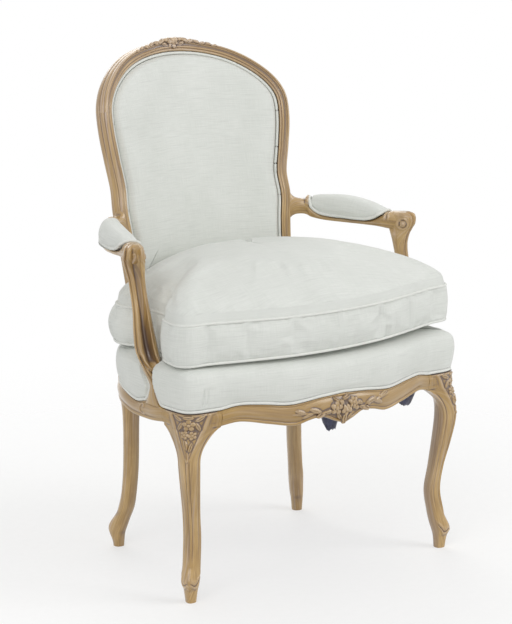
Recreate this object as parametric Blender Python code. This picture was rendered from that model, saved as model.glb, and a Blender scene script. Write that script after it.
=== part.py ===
"""An upholstered open armchair (fauteuil) with a carved and joined beech frame.

Metres, +Z up. The front faces -Y and the origin is on the floor under the middle of the chair.
The frame is built for the right-hand side (+X) and mirrored piece by piece. Rails and posts are
joined by tenons; the seat is webbed, stuffed and covered, and carries a loose box cushion that
lifts out.
"""

import math

import bmesh
import bpy
from mathutils import Matrix, Vector

# Fits
CLEAR = 0.0003  # gap between pieces that touch, and all round a tenon
SLACK = 0.0008  # gap between curved pieces that lie against each other

# Seat frame
SEAT_HALF = 0.310  # half width over the side rails at the arm supports
REAR_HALF = 0.2125  # half width over the side rails where they meet the posts
SEAT_FRONT = -0.270  # front of the bowed rail on the centre line
SEAT_REAR = 0.163  # outer face of the rear rail
SEAT_BOW = 0.0495  # how far the bow stands before the front corners
RAIL_TOP = 0.372  # height of the rails, where the webbing is tacked
RAIL_THICK = 0.030
TACK_BAND = 0.024  # upholstered band of the rails above their mouldings
REBATE = 0.008  # how far that band is set back
RAIL_BELLY = 0.002  # rounding of the moulded rail faces
CARVING_PROUD = 0.007  # how far the carved bouquet stands off the front rail
CARVING_HALF = 0.055  # half width of that bouquet
LEDGE = RAIL_TOP - TACK_BAND  # top of the mouldings at the joints
CORNER_Y = SEAT_FRONT + SEAT_BOW
SEAT_DEPTH = SEAT_REAR - SEAT_FRONT
# Seat plan: shares of the half width and of the bow, then half widths and shares of the depth
FRONT_PLAN = ((0, 0), (0.323, 0.19), (0.58, 0.60), (0.758, 1.0), (0.91, 1.06), (0.976, 1.32))
SIDE_PLAN = (
    (SEAT_HALF * 0.995, 0.2425),
    (SEAT_HALF, 0.3926),
    (SEAT_HALF * 0.968, 0.6236),
    (SEAT_HALF * 0.861, 0.785),
    (REAR_HALF, 0.926),
)
REAR_PLAN = (0.84, 0.45, 0)  # shares of the rear half width

# Legs
FOOT_INSET = 0.0245  # foot centre, in from the seat corner both ways
KNEE_SPAN = 0.076  # from the seat corner to the joint with a rail
KNEE_SHARE = 0.74  # share of the leg below the spread of the knee
KNEE_BACK = 0.003  # ridge of the knee behind the front corner
CORNER_SETBACK = 2.2  # rebate at the rounded seat corner, as a multiple of that on the rails
EAR_SHARE = 0.93  # share of the leg at which the knee meets the rails
POST_HALF = 0.018  # half side of the rear post at the seat
POST_BACK = 0.004  # how far the post stands behind the rear rail
BELLY = 0.0010  # swell of the faces of the legs
CORNER_EASE = 0.30  # share of a face taken up by its rounded corner
POST_INSET = 0.0015  # outer face of the post inside the side rail's
POST_X = REAR_HALF - POST_HALF - POST_INSET
POST_Y = SEAT_REAR + POST_BACK - POST_HALF
POST_FACE = POST_Y - POST_HALF
KNEE_X = SEAT_HALF - KNEE_SPAN
KNEE_Y = CORNER_Y + KNEE_SPAN

# Arms
ARM_RISE = 0.222  # arm underside above the rails
CONSOLE_Y = -0.110  # foot of the arm support
CONSOLE_INSET = 0.011  # centre of the arm support, in from the widest part of the rail
CONSOLE_SEAT = 0.002  # foot of the arm support above the moulding
ARM_OVERHANG = 0.022  # scroll in front of the top of the arm support
ARM_FLARE = 0.0115  # scroll outside the middle of the arm support
CONSOLE_TURN = math.radians(35)  # how far the arm supports face outwards
ARM_BED = 0.011  # lowest part of the pad's scooped bed above the arm's underside
PAD_HALF = 0.027
PAD_TOP = 0.053  # crown of the pad above the arm's underside
ARM_UNDER = RAIL_TOP + ARM_RISE
CONSOLE_X = SEAT_HALF - CONSOLE_INSET
CONSOLE_FOOT = LEDGE + CONSOLE_SEAT + CLEAR
CONSOLE_TOP = ARM_UNDER - CLEAR

# Back
BACK_HALF = 0.1905  # inner half width at the shoulders
BACK_FOOT = 0.123  # start of the stiles above the rails
BACK_RISE = 0.555  # inner top of the crest above the rails
BACK_DATUM_Y = 0.211  # front of the back on the centre line, level with the arms
BACK_LEAN = 0.218  # rearward run for each metre of rise
BACK_HOLLOW = 0.057  # how far the sides stand before the middle at the shoulders
FRAME_DEPTH = 0.026
FRAME_REBATE = 0.007
FRAME_TACK = 0.013  # frame hidden under the upholstery
WAIST_FACE = 0.0175  # visible moulding on the stiles
SHOULDER_FACE = 0.0195  # visible moulding at the shoulders and along the crest
CREST_CARVING = 0.004  # height that the carved flower adds
CREST_CARVING_HALF = 0.065
CREST_JOINT = 0.77  # share of the back's rise at which crest and posts meet
BACK_RAIL_HEIGHT = 0.030
BACK_CROWN = 0.028  # swell of the back padding
BACK_EDGE = 0.025  # lower edge of the padding above the start of the stiles
PANEL_THICK = 0.003
BACK_CURVE = BACK_HOLLOW / BACK_HALF**2  # forward run at the sides for the width squared

# Joints
TENON_LENGTH = 0.028
TENON_THICK = 0.009
TENON_HEIGHT = 0.026
BLOCK_DEPTH = 0.055  # run of a corner block along each rail
BLOCK_SETBACK = 0.012
BLOCK_HEIGHT = 0.026
BLOCK_DROP = 0.016  # top of the blocks below the rails
SCREW_RADIUS = 0.0021
SCREW_HEAD = 0.0039
SCREW_HEAD_HEIGHT = 0.0025
SCREW_GRIP = 0.011  # length of a screw inside the rail

# Seat upholstery
STRAP_WIDTH = 0.050
STRAP_THICK = 0.0015
STRAP_LAP = 0.016  # webbing lying on a rail
STRAPS_ALONG = 4
STRAPS_ACROSS = 3
HESSIAN_THICK = 0.001
COVER_THICK = 0.002
WELT_RADIUS = 0.003
SEAT_STUFF = 0.062  # crown of the tight seat above the rails
SEAT_SWELL = 0.004  # swell of the seat sides past the rails
SEAT_ROLL = 0.014  # width of the rolled edge of the seat
DUST_THICK = 0.0012
DUST_SAG = 0.010
DUST_FOLDS = 7
DUST_FOLD = 0.25  # depth of the folds as a share of the sag
# Places where the dust cover bags: plan position, reach and depth
DUST_BAGS = (((0.020, -0.212), 0.045, 0.060), ((0.186, -0.195), 0.045, 0.028))

# Cushion
CUSHION_BOX = 0.067  # between the two welts
CUSHION_CROWN = 0.086  # crown above the upper welt
CUSHION_PEAK_Y = 0.020  # crown behind the middle of the seat
CUSHION_DRAW = 0.003  # how far the boxing draws in between the welts
CUSHION_WELT = 0.0025
CUSHION_NOTCH = 0.009  # room left beside the arm supports
CUSHION_EAR = 0.036  # ears of the cushion before the arm supports
NOTCH_START = 0.008  # notches from before the foot of the arm supports
NOTCH_END = 0.070  # to behind it
ZIP_LENGTH = 0.300
ZIP_HEIGHT = 0.012
ZIP_THICK = 0.0016
SEAT_CROWN = RAIL_TOP + SEAT_STUFF
LOWER_SEAM = SEAT_CROWN  # the cushion's lower welt

OUTLINE_POINTS = 30
SIDES = (("left", -1), ("right", 1))
UP = Vector((0, 0, 1))

# Cabriole front leg: share of the leg's height, then sweep along the outward diagonal, half size
# on that diagonal and half size across it
LEG_FORM = (
    (0.000, Vector((0.000, 0.0100, 0.0090))),
    (0.066, Vector((0.001, 0.0125, 0.0110))),
    (0.104, Vector((0.002, 0.0185, 0.0155))),
    (0.138, Vector((-0.001, 0.0190, 0.0168))),
    (0.195, Vector((-0.008, 0.0168, 0.0166))),
    (0.325, Vector((-0.016, 0.0154, 0.0163))),
    (0.460, Vector((-0.010, 0.0148, 0.0162))),
    (0.609, Vector((0.000, 0.0182, 0.0182))),
    (0.741, Vector((0.007, 0.0206, 0.0200))),
    (1.000, Vector((0.011, 0.0210, 0.0205))),
)

# Rear leg: share of the height to the rails, then outward and rearward sweep from the post's
# centre at the seat, half side and swell of the faces
REAR_LEG_FORM = (
    (0.000, Vector((0.0185, 0.0165, 0.0088, BELLY))),
    (0.070, Vector((0.0175, 0.0165, 0.0105, BELLY))),
    (0.108, Vector((0.0150, 0.0140, 0.0130, BELLY))),
    (0.150, Vector((0.0120, 0.0110, 0.0132, BELLY))),
    (0.212, Vector((0.0070, 0.0050, 0.0130, BELLY))),
    (0.285, Vector((0.0030, 0.0020, 0.0125, BELLY))),
    (0.430, Vector((-0.0010, 0.0005, 0.0128, BELLY))),
    (0.700, Vector((-0.0020, 0.0000, 0.0138, BELLY))),
    (0.850, Vector((0.0000, 0.0000, POST_HALF, 0.0))),
    (1.000, Vector((0.0000, 0.0000, POST_HALF, 0.0))),
)

# Front rail: share of the half seat width, then crest height above the ledge
FRONT_CREST = ((0.0, 0.010), (0.16, 0.0065), (0.355, 0.0), (0.516, 0.005), (0.645, 0.007), (0.755, 0.0))
# Front rail: share of the half seat width, then depth of the lower edge below the ledge
FRONT_DROP = (
    (0.0, 0.046),
    (0.065, 0.039),
    (0.145, 0.029),
    (0.226, 0.031),
    (0.33, 0.038),
    (0.484, 0.0305),
    (0.645, 0.022),
    (0.755, 0.0275),
)
# Side rail: share of its length, then crest above the ledge and drop of the lower edge
SIDE_CREST = (
    (0.0, 0.0),
    (0.05, 0.002),
    (0.21, 0.002),
    (0.33, -0.005),
    (0.56, 0.004),
    (0.8, 0.006),
    (1.0, 0.0),
)
SIDE_DROP = ((0.0, 0.0245), (0.15, 0.029), (0.37, 0.030), (0.55, 0.025), (0.8, 0.022), (1.0, 0.029))

# Arm support: share of its height, then rearward sweep of its centre, half width, half depth and
# share of its turn outwards
CONSOLE_FORM = (
    (0.000, Vector((0.0000, 0.0130, 0.0250, 0.0))),
    (0.065, Vector((0.0010, 0.0125, 0.0125, 0.0))),
    (0.143, Vector((0.0025, 0.0110, 0.0068, 0.0))),
    (0.245, Vector((0.0145, 0.0170, 0.0120, 0.5))),
    (0.369, Vector((0.0300, 0.0205, 0.0145, 1.0))),
    (0.492, Vector((0.0395, 0.0190, 0.0145, 1.0))),
    (0.636, Vector((0.0470, 0.0160, 0.0140, 1.0))),
    (0.780, Vector((0.0570, 0.0145, 0.0135, 1.0))),
    (0.900, Vector((0.0630, 0.0145, 0.0145, 1.0))),
    (1.000, Vector((0.0640, 0.0160, 0.0165, 1.0))),
)
CONSOLE_NECK = 0.2  # share of the arm support's height that the seat's upholstery reaches
# Arm: share of its length, then half width, underside and top above the datum of the underside
ARM_FORM = (
    (0.000, Vector((0.0115, 0.0120, 0.0500))),
    (0.045, Vector((0.0118, 0.0125, 0.0420))),
    (0.100, Vector((0.0125, 0.0120, 0.0420))),
    (0.130, Vector((0.0135, 0.0100, 0.0470))),
    (0.155, Vector((0.0150, 0.0070, ARM_BED + 0.019))),
    (0.215, Vector((0.0165, 0.0040, ARM_BED + 0.006))),
    (0.300, Vector((0.0175, 0.0020, ARM_BED + 0.001))),
    (0.450, Vector((0.0180, 0.0015, ARM_BED))),
    (0.640, Vector((0.0175, 0.0025, ARM_BED + 0.001))),
    (0.720, Vector((0.0172, 0.0030, ARM_BED + 0.006))),
    (0.790, Vector((0.0170, 0.0020, ARM_BED + 0.016))),
    (0.825, Vector((0.0165, 0.0010, 0.0320))),
    (0.870, Vector((0.0160, 0.0000, 0.0335))),
    (0.930, Vector((0.0155, 0.0000, 0.0325))),
    (0.975, Vector((0.0140, 0.0020, 0.0290))),
    (1.000, Vector((0.0090, 0.0100, 0.0220))),
)
# Arm in plan, as shares of the way out from the stile and forward to the scroll
ARM_PLAN = (
    (0, 0),
    (0.23, 0.077),
    (0.45, 0.21),
    (0.63, 0.38),
    (0.735, 0.55),
    (0.79, 0.70),
    (0.86, 0.83),
    (1, 1),
)
ARM_STEP = 0.08  # widest step between sections of the arm, as a share of it
PAD_WELT_STEP = 0.016  # the welt's place before and behind the pad, as a share of the arm
PAD_SPAN = (0.178, 0.770)  # stretch of the arm that the pad lies on

# Inner line of the back frame, right half: shares of the half width and of the rise
BACK_LINE = (
    (0.861, 0.0),
    (0.882, 0.127),
    (0.9055, 0.243),
    (0.932, 0.347),
    (0.921, 0.451),
    (0.963, 0.572),
    (1.0, 0.706),
    (0.982, 0.799),
    (0.856, 0.877),
    (0.619, 0.947),
    (0.336, 0.986),
    (0.0, 1.0),
)


def smooth(stations, t):
    """Value at t of a smooth curve through (t, value) stations, held level past its ends."""
    last = len(stations) - 1
    if t <= stations[0][0]:
        return stations[0][1]
    if t >= stations[last][0]:
        return stations[last][1]
    i = max(k for k in range(last) if stations[k][0] <= t)

    def slope(k):
        low, high = max(k - 1, 0), min(k + 1, last)
        return (stations[high][1] - stations[low][1]) * (1 / (stations[high][0] - stations[low][0]))

    (t0, v0), (t1, v1) = stations[i], stations[i + 1]
    span = t1 - t0
    u = (t - t0) / span
    ends = v0 * (2 * u**3 - 3 * u**2 + 1) + v1 * (3 * u**2 - 2 * u**3)
    return ends + slope(i) * (span * (u**3 - 2 * u**2 + u)) + slope(i + 1) * (span * (u**3 - u**2))


def straight(stations, t):
    """Value at t on straight lines between (t, value) stations."""
    for (t0, v0), (t1, v1) in zip(stations, stations[1:]):
        if t <= t1:
            return v0 + (v1 - v0) * ((t - t0) / (t1 - t0))
    return stations[-1][1]


def measured(points):
    """Points as stations at their share of the length of the line through them."""
    lengths = [0.0]
    for a, b in zip(points, points[1:]):
        lengths.append(lengths[-1] + (b - a).length)
    return [(length / lengths[-1], point) for length, point in zip(lengths, points)]


def spaced(points, count):
    """Points spaced evenly along a closed smooth curve through the given points."""
    ring = list(points)
    around = measured(ring[-2:] + ring + ring[:3])
    first, last = around[2][0], around[len(ring) + 2][0]
    fine = [smooth(around, first + (last - first) * k / (count * 8)) for k in range(count * 8 + 1)]
    line = measured(fine)
    return [straight(line, k / count) for k in range(count)]


def mirrored(half):
    """A closed outline from its right half, which starts and ends on the centre line."""
    return half + [Vector((-p.x, *p[1:])) for p in reversed(half[1:-1])]


def inset(outline, distance):
    """A closed plan outline moved inwards, towards the middle of the chair."""
    moved = []
    for k, point in enumerate(outline):
        along = (outline[(k + 1) % len(outline)] - outline[k - 1]).normalized()
        moved.append(point + Vector((-along.y, along.x, 0)) * distance)
    return moved


def shrunk(outline, share, towards=None):
    """A closed outline drawn in towards its middle or a point, leaving a share of its size."""
    middle = towards or sum(outline, Vector()) / len(outline)
    return [middle + (p - middle) * share for p in outline]


def at_height(outline, z):
    return [Vector((p.x, p.y, z)) for p in outline]


def material(name, colour, roughness):
    made = bpy.data.materials.new(name)
    made.use_nodes = True
    shader = made.node_tree.nodes["Principled BSDF"]
    shader.inputs["Base Color"].default_value = (*colour, 1)
    shader.inputs["Roughness"].default_value = roughness
    made.diffuse_color = (*colour, 1)
    return made


def place(name, data, surface, parent):
    piece = bpy.data.objects.new(name, data)
    data.materials.append(surface)
    bpy.context.collection.objects.link(piece)
    piece.parent = parent
    return piece


def loft(name, rings, surface, parent):
    """A solid skinned over rings of equal length; an end ring of one point closes it as a dome."""
    mesh = bmesh.new()
    loops = [[mesh.verts.new(p) for p in ring] for ring in rings]
    for low, high in zip(loops, loops[1:]):
        count = max(len(low), len(high))
        for k in range(count):
            lower = low[k % len(low)], low[(k + 1) % len(low)]
            upper = high[(k + 1) % len(high)], high[k % len(high)]
            mesh.faces.new(dict.fromkeys(lower + upper))
    for loop in (loops[0], loops[-1]):
        if len(loop) > 2:
            mesh.faces.new(loop)
    bmesh.ops.recalc_face_normals(mesh, faces=mesh.faces)
    data = bpy.data.meshes.new(name)
    mesh.to_mesh(data)
    mesh.free()
    data.shade_smooth()
    data.set_sharp_from_angle(angle=math.radians(40))
    return place(name, data, surface, parent)


def piping(name, path, radius, closed, surface, parent):
    """A round welt along a path."""
    curve = bpy.data.curves.new(name, "CURVE")
    curve.dimensions = "3D"
    curve.bevel_depth = radius
    curve.bevel_resolution = 1
    curve.use_fill_caps = not closed
    spline = curve.splines.new("POLY")
    spline.points.add(len(path) - 1)
    for point, position in zip(spline.points, path):
        point.co = (*position, 1)
    spline.use_cyclic_u = closed
    return place(name, curve, surface, parent)


def block(name, centre, axes, sizes, surface, parent):
    """A box of the given full sizes along three axes."""
    a, b, c = (axis * (size / 2) for axis, size in zip(axes, sizes))
    corners = [a + b, b - a, -a - b, a - b]
    rings = [[centre + end + corner for corner in corners] for end in (-c, c)]
    return loft(name, rings, surface, parent)


def helper(piece):
    piece.hide_render = True
    piece.display_type = "WIRE"
    return piece


def boolean(piece, other, operation, solver="EXACT"):
    modifier = piece.modifiers.new(other.name, "BOOLEAN")
    modifier.operation = operation
    modifier.solver = solver
    modifier.object = other


def tenon(holder, receiver, centre, axes, sizes):
    """Joins a tenon to one piece and cuts its mortise, larger by the clearance, in another."""
    surface, parent = holder.data.materials[0], holder.parent
    name = f"{holder.name}_in_{receiver.name}"
    boolean(holder, helper(block(name + "_tenon", centre, axes, sizes, surface, parent)), "UNION")
    larger = [size + 2 * CLEAR for size in sizes]
    boolean(receiver, helper(block(name + "_mortise", centre, axes, larger, surface, parent)), "DIFFERENCE")


def sided(rings, side):
    """Rings of the right-hand piece, mirrored for the left."""
    return [[Vector((p.x * side, p.y, p.z)) for p in ring] for ring in rings]


def plan_half():
    """Right half of the seat's plan, from the front of the bow round to the rear rail."""
    front = [Vector((share * SEAT_HALF, SEAT_FRONT + bow * SEAT_BOW, 0)) for share, bow in FRONT_PLAN]
    side = [Vector((x, SEAT_FRONT + share * SEAT_DEPTH, 0)) for x, share in SIDE_PLAN]
    rear = [Vector((share * REAR_HALF, SEAT_REAR, 0)) for share in REAR_PLAN]
    return front + side + rear


def front_face(x):
    """Y of the front rail's face."""
    return smooth([(s * SEAT_HALF, SEAT_FRONT + bow * SEAT_BOW) for s, bow in FRONT_PLAN], abs(x))


def side_face(y):
    """X of the right side rail's face."""
    return smooth([(SEAT_FRONT + share * SEAT_DEPTH, x) for x, share in SIDE_PLAN], y)


def skew(face, t):
    """How much further a step square to a curved face reaches along its axis."""
    step = 0.002
    slope = (face(t + step) - face(t - step)) / (2 * step)
    return math.sqrt(1 + slope * slope)


def side_share(y):
    return (y - KNEE_Y) / (POST_FACE - KNEE_Y)


def front_crest(x):
    return LEDGE + smooth(FRONT_CREST, abs(x) / SEAT_HALF)


def front_under(x):
    return LEDGE - smooth(FRONT_DROP, abs(x) / SEAT_HALF)


def side_crest(y):
    return LEDGE + smooth(SIDE_CREST, side_share(y))


def side_under(y):
    return LEDGE - smooth(SIDE_DROP, side_share(y))


def crest_at(point):
    """Height of the moulding under a point of the seat's outline."""
    if abs(point.x) < KNEE_X and point.y < 0:
        return front_crest(point.x)
    if KNEE_Y < point.y < POST_FACE:
        return side_crest(point.y)
    return LEDGE


def rail_section(crest, under):
    """(setback from the face, height) round a rail: moulded face, ledge, tacking band, inside."""
    tall = crest - under
    return (
        (RAIL_BELLY, under),
        (0.0, under + 0.3 * tall),
        (0.0, under + 0.75 * tall),
        (RAIL_BELLY, crest),
        (REBATE, crest),
        (REBATE, RAIL_TOP),
        (RAIL_THICK, RAIL_TOP),
        (RAIL_THICK, under),
    )


def bump(x, half):
    """A smooth rise to 1 at the middle of a stretch."""
    return math.cos(math.pi / 2 * min(abs(x) / half, 1)) ** 2


def leg_ring(z):
    """Section of the right front leg: outer, front, inner and rear corners, three points each."""
    sweep, deep, wide = smooth(LEG_FORM, z / LEDGE)
    out, across = Vector((1, -1, 0)).normalized(), Vector((1, 1, 0)).normalized()
    centre = Vector((SEAT_HALF - FOOT_INSET, CORNER_Y + FOOT_INSET, z)) + out * sweep
    corners = [centre + out * deep, centre - across * wide, centre - out * deep, centre + across * wide]
    return eased(corners, BELLY)


def eased(corners, belly):
    """A four-cornered section whose faces swell a little between the corners."""
    centre = sum(corners, Vector()) / len(corners)
    ring = []
    for k, corner in enumerate(corners):
        before = corner.lerp(corners[k - 1], CORNER_EASE)
        after = corner.lerp(corners[(k + 1) % len(corners)], CORNER_EASE)
        swollen = [p + (p - centre).normalized() * belly for p in (before, after)]
        ring += [swollen[0], corner, swollen[1]]
    return ring


def knee_ring(z, setback):
    """Section of the knee block, whose flat cheeks meet the rails."""
    corner = setback * CORNER_SETBACK
    outer = Vector((SEAT_HALF - corner, CORNER_Y + KNEE_BACK + corner, z))
    front = Vector((KNEE_X, front_face(KNEE_X) + setback, z))
    front_in = Vector((KNEE_X, front_face(KNEE_X) + RAIL_THICK, z))
    rear = Vector((side_face(KNEE_Y) - setback, KNEE_Y, z))
    rear_in = Vector((side_face(KNEE_Y) - RAIL_THICK, KNEE_Y, z))
    inner = Vector((rear_in.x - RAIL_THICK / 3, front_in.y + RAIL_THICK / 3, z))
    return [
        outer.lerp(rear, CORNER_EASE),
        outer,
        outer.lerp(front, CORNER_EASE),
        front,
        front.lerp(front_in, 0.5),
        front_in,
        inner.lerp(front_in, CORNER_EASE),
        inner,
        inner.lerp(rear_in, CORNER_EASE),
        rear_in,
        rear_in.lerp(rear, 0.5),
        rear,
    ]


def front_leg_rings():
    knee, ear = KNEE_SHARE * LEDGE, EAR_SHARE * LEDGE
    rings = [leg_ring(share * LEDGE) for share, _ in LEG_FORM if share < KNEE_SHARE]
    rings += [leg_ring(share * LEDGE) for share in (0.085, 0.26, 0.39, 0.535, 0.68)]
    rings.sort(key=lambda ring: ring[0].z)
    for spread in (0.0, 0.25, 0.45, 0.65, 0.82, 1.0):
        z = knee + spread * (ear - knee)
        rings.append([p.lerp(q, spread**1.6) for p, q in zip(leg_ring(z), knee_ring(z, 0))])
    return rings + [knee_ring(LEDGE, 0), knee_ring(LEDGE + CLEAR, REBATE), knee_ring(RAIL_TOP, REBATE)]


def back_y(x, z):
    """Y of the front surface of the back."""
    return BACK_DATUM_Y + BACK_LEAN * (z - ARM_UNDER) - BACK_CURVE * x * x


def back_normal(x):
    """Towards the sitter, square to the surface of the back."""
    return Vector((-2 * BACK_CURVE * x, -1, BACK_LEAN)).normalized()


def on_back(x, z, proud):
    return Vector((x, back_y(x, z), z)) + back_normal(x) * proud


def back_line():
    """Inner line of the back frame from the right stile's foot over the crest to the left one's."""
    rise = BACK_RISE - BACK_FOOT
    right = [Vector((x * BACK_HALF, 0, RAIL_TOP + BACK_FOOT + z * rise)) for x, z in BACK_LINE]
    line = measured(right + [Vector((-p.x, 0, p.z)) for p in reversed(right[:-1])])
    fine = 96
    return [smooth(line, k / fine) for k in range(fine + 1)]


def frame_axes(line, k):
    """Point of the back's inner line, with the directions outward, towards the sitter and along."""
    before, after = line[max(k - 1, 0)], line[min(k + 1, len(line) - 1)]
    along = on_back(after.x, after.z, 0) - on_back(before.x, before.z, 0)
    along.normalize()
    front = back_normal(line[k].x)
    return on_back(line[k].x, line[k].z, 0), along.cross(front).normalized(), front, along


def frame_face(point):
    """Width of the visible moulding at a point of the back's inner line."""
    rise = (point.z - RAIL_TOP - BACK_FOOT) / (BACK_RISE - BACK_FOOT)
    width = WAIST_FACE + (SHOULDER_FACE - WAIST_FACE) * min(max((rise - 0.35) / 0.3, 0), 1)
    return width + (CREST_CARVING * bump(point.x, CREST_CARVING_HALF) if rise > 0.9 else 0)


def frame_ring(line, k):
    """Section of the back frame: moulding, outer edge, back, and the rebate for the padding."""
    origin, out, front, _ = frame_axes(line, k)
    wide = frame_face(line[k])
    section = (
        (0, 0),
        (0.45 * wide, BELLY),
        (wide - 2 * BELLY, -0.5 * BELLY),
        (wide, -0.2 * FRAME_DEPTH),
        (wide, -0.75 * FRAME_DEPTH),
        (0.75 * wide, -FRAME_DEPTH),
        (0.1 * wide, -FRAME_DEPTH),
        (-FRAME_TACK, -FRAME_DEPTH),
        (-FRAME_TACK, -0.6 * FRAME_DEPTH),
        (-FRAME_TACK, -FRAME_REBATE),
        (-0.5 * FRAME_TACK, -FRAME_REBATE),
        (0, -FRAME_REBATE),
    )
    return [origin + out * s + front * n for s, n in section]


def rearmost(line):
    """Y of the back of the crest."""
    return max(p.y for p in frame_ring(line, len(line) // 2))


def post_ring(z):
    """Section of the right rear post below the back, in the order of the frame's section."""
    out, rearward, half, belly = smooth(REAR_LEG_FORM, z / RAIL_TOP)
    centre = Vector((POST_X + out, POST_Y + rearward, z))
    corners = [centre + Vector((u * half, v * half, 0)) for u, v in ((-1, -1), (1, -1), (1, 1), (-1, 1))]
    ring = eased(corners, belly)
    return ring[2:] + ring[:2]


def post_rings(line, joint):
    shares = sorted({share for share, _ in REAR_LEG_FORM} | {0.09, 0.35, 0.55})
    rings = [post_ring(share * RAIL_TOP) for share in shares]
    return rings + [frame_ring(line, k) for k in range(0, joint, 4)] + [frame_ring(line, joint)]


def console_section(form, spread_x, spread_y):
    """Section of the right arm support about its centre, turned outwards, with the given spread."""
    _, wide, deep, share = form
    a, b = wide + spread_x, deep + spread_y
    turn = Matrix.Rotation(share * CONSOLE_TURN, 3, "Z")
    corners = ((1, -0.4), (1, 0.4), (0.5, 1), (-0.5, 1), (-1, 0.4), (-1, -0.4), (-0.5, -1), (0.5, -1))
    return [turn @ Vector((u * a, v * b, 0)) for u, v in corners]


def console_rings(spread_x, spread_y):
    """The right arm support, or the room that it needs with the given spread all round."""
    tall = CONSOLE_TOP - CONSOLE_FOOT
    rings = []
    for share, form in CONSOLE_FORM:
        centre = Vector((CONSOLE_X, CONSOLE_Y + form[0], CONSOLE_FOOT + share * tall))
        rings.append([centre + p for p in console_section(form, spread_x, spread_y)])
    if spread_y:
        rings.insert(0, [p - UP * CLEAR for p in rings[0]])
    return rings


def console_widest(low, high):
    """Half width of the arm support along X between two shares of its height."""
    forms = [form for share, form in CONSOLE_FORM if low <= share <= high]
    return max(p.x for form in forms for p in console_section(form, 0, 0))


def arm_path(line):
    """Plan stations of the right arm's centre, from the stile to the scroll."""
    rise = ARM_UNDER + (ARM_FORM[0][1][1] + ARM_FORM[0][1][2]) / 2
    k = min(range(len(line) // 2), key=lambda i: abs(line[i].z - rise))
    origin, out, front, _ = frame_axes(line, k)
    start = origin + out * (frame_face(line[k]) + 2 * SLACK) - front * (FRAME_DEPTH / 2)
    end_y = CONSOLE_Y + CONSOLE_FORM[-1][1][0] - ARM_OVERHANG
    end = Vector((CONSOLE_X + ARM_FLARE, end_y, 0))
    points = [
        Vector((start.x + (end.x - start.x) * u, start.y + (end.y - start.y) * v, 0)) for u, v in ARM_PLAN
    ]
    return measured(points)


def arm_axes(path, share):
    """Point on the arm's plan and the direction across it."""
    along = smooth(path, min(share + 0.01, 1)) - smooth(path, max(share - 0.01, 0))
    return smooth(path, share), Vector((along.y, -along.x, 0)).normalized()


def arm_ring(path, share):
    centre, across = arm_axes(path, share)
    half, low, high = straight(ARM_FORM, share)
    tall = high - low
    section = (
        (-0.65, low),
        (0.65, low),
        (1, low + 0.3 * tall),
        (1, low + 0.72 * tall),
        (0.75, high),
        (0, high),
        (-0.75, high),
        (-1, low + 0.72 * tall),
        (-1, low + 0.3 * tall),
    )
    return [centre + across * (u * half) + UP * (ARM_UNDER + z) for u, z in section]


def arm_shares(start=0, end=1):
    """Places of the arm's sections along a stretch of it, close enough to follow its bend."""
    shares = [share for share, _ in ARM_FORM]
    between = [(a + b) / 2 for a, b in zip(shares, shares[1:]) if b - a > ARM_STEP]
    return [share for share in sorted(shares + between) if start <= share <= end]


def arm_bed(share):
    """Height of the arm's top."""
    return ARM_UNDER + straight(ARM_FORM, share)[2]


def pad_rings(path, drawn, drop):
    """Rings across an arm pad, drawn in by its cover's thickness and carried down to open it."""
    profile = ((-1, 0), (-1, 0.4), (-0.72, 0.8), (0, 1), (0.72, 0.8), (1, 0.4), (1, 0))
    start, end = PAD_SPAN
    steps = 10
    rings = []
    for k in range(steps + 1):
        v = 0.02 + 0.96 * k / steps
        swell = math.sin(math.pi * v) ** 0.4
        shrink = 2 * drawn / (end - start) * (0.5 - v)
        centre, across = arm_axes(path, start + (end - start) * v + shrink)
        base = arm_bed(start + (end - start) * v) + CLEAR
        tall = (ARM_UNDER + PAD_TOP - base) * swell - drawn
        half = PAD_HALF * swell - drawn
        heights = [base + z * tall - (0 if z else drop) for _, z in profile]
        rings.append([centre + across * (u * half) + UP * z for (u, _), z in zip(profile, heights)])
    return rings


def cushion_half():
    """Right half of the loose cushion's plan, drawn in beside the arm supports."""
    front = [(0.0, 0.25), (0.323, 0.43), (0.61, 0.91), (0.80, 1.28), (0.93, 1.42), (0.975, 1.80)]
    ears = [Vector((s * SEAT_HALF, SEAT_FRONT + bow * SEAT_BOW, 0)) for s, bow in front]
    notch = CONSOLE_X - console_widest(CONSOLE_NECK, 1) - CUSHION_NOTCH
    beside = [
        Vector((SEAT_HALF * 0.965, CONSOLE_Y - CUSHION_EAR, 0)),
        Vector((notch, CONSOLE_Y - NOTCH_START, 0)),
        Vector((notch, CONSOLE_Y + NOTCH_END, 0)),
    ]
    rear = [(0.95, 0.635), (0.966, 0.705), (0.915, 0.79), (0.80, 0.847)]
    rear += [(0.645, 0.891), (0.45, 0.942), (0.26, 0.975)]
    behind = [Vector((s * SEAT_HALF, SEAT_FRONT + share * SEAT_DEPTH, 0)) for s, share in rear]
    return ears + beside + behind + [Vector((0, SEAT_FRONT + 0.985 * SEAT_DEPTH, 0))]


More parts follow.
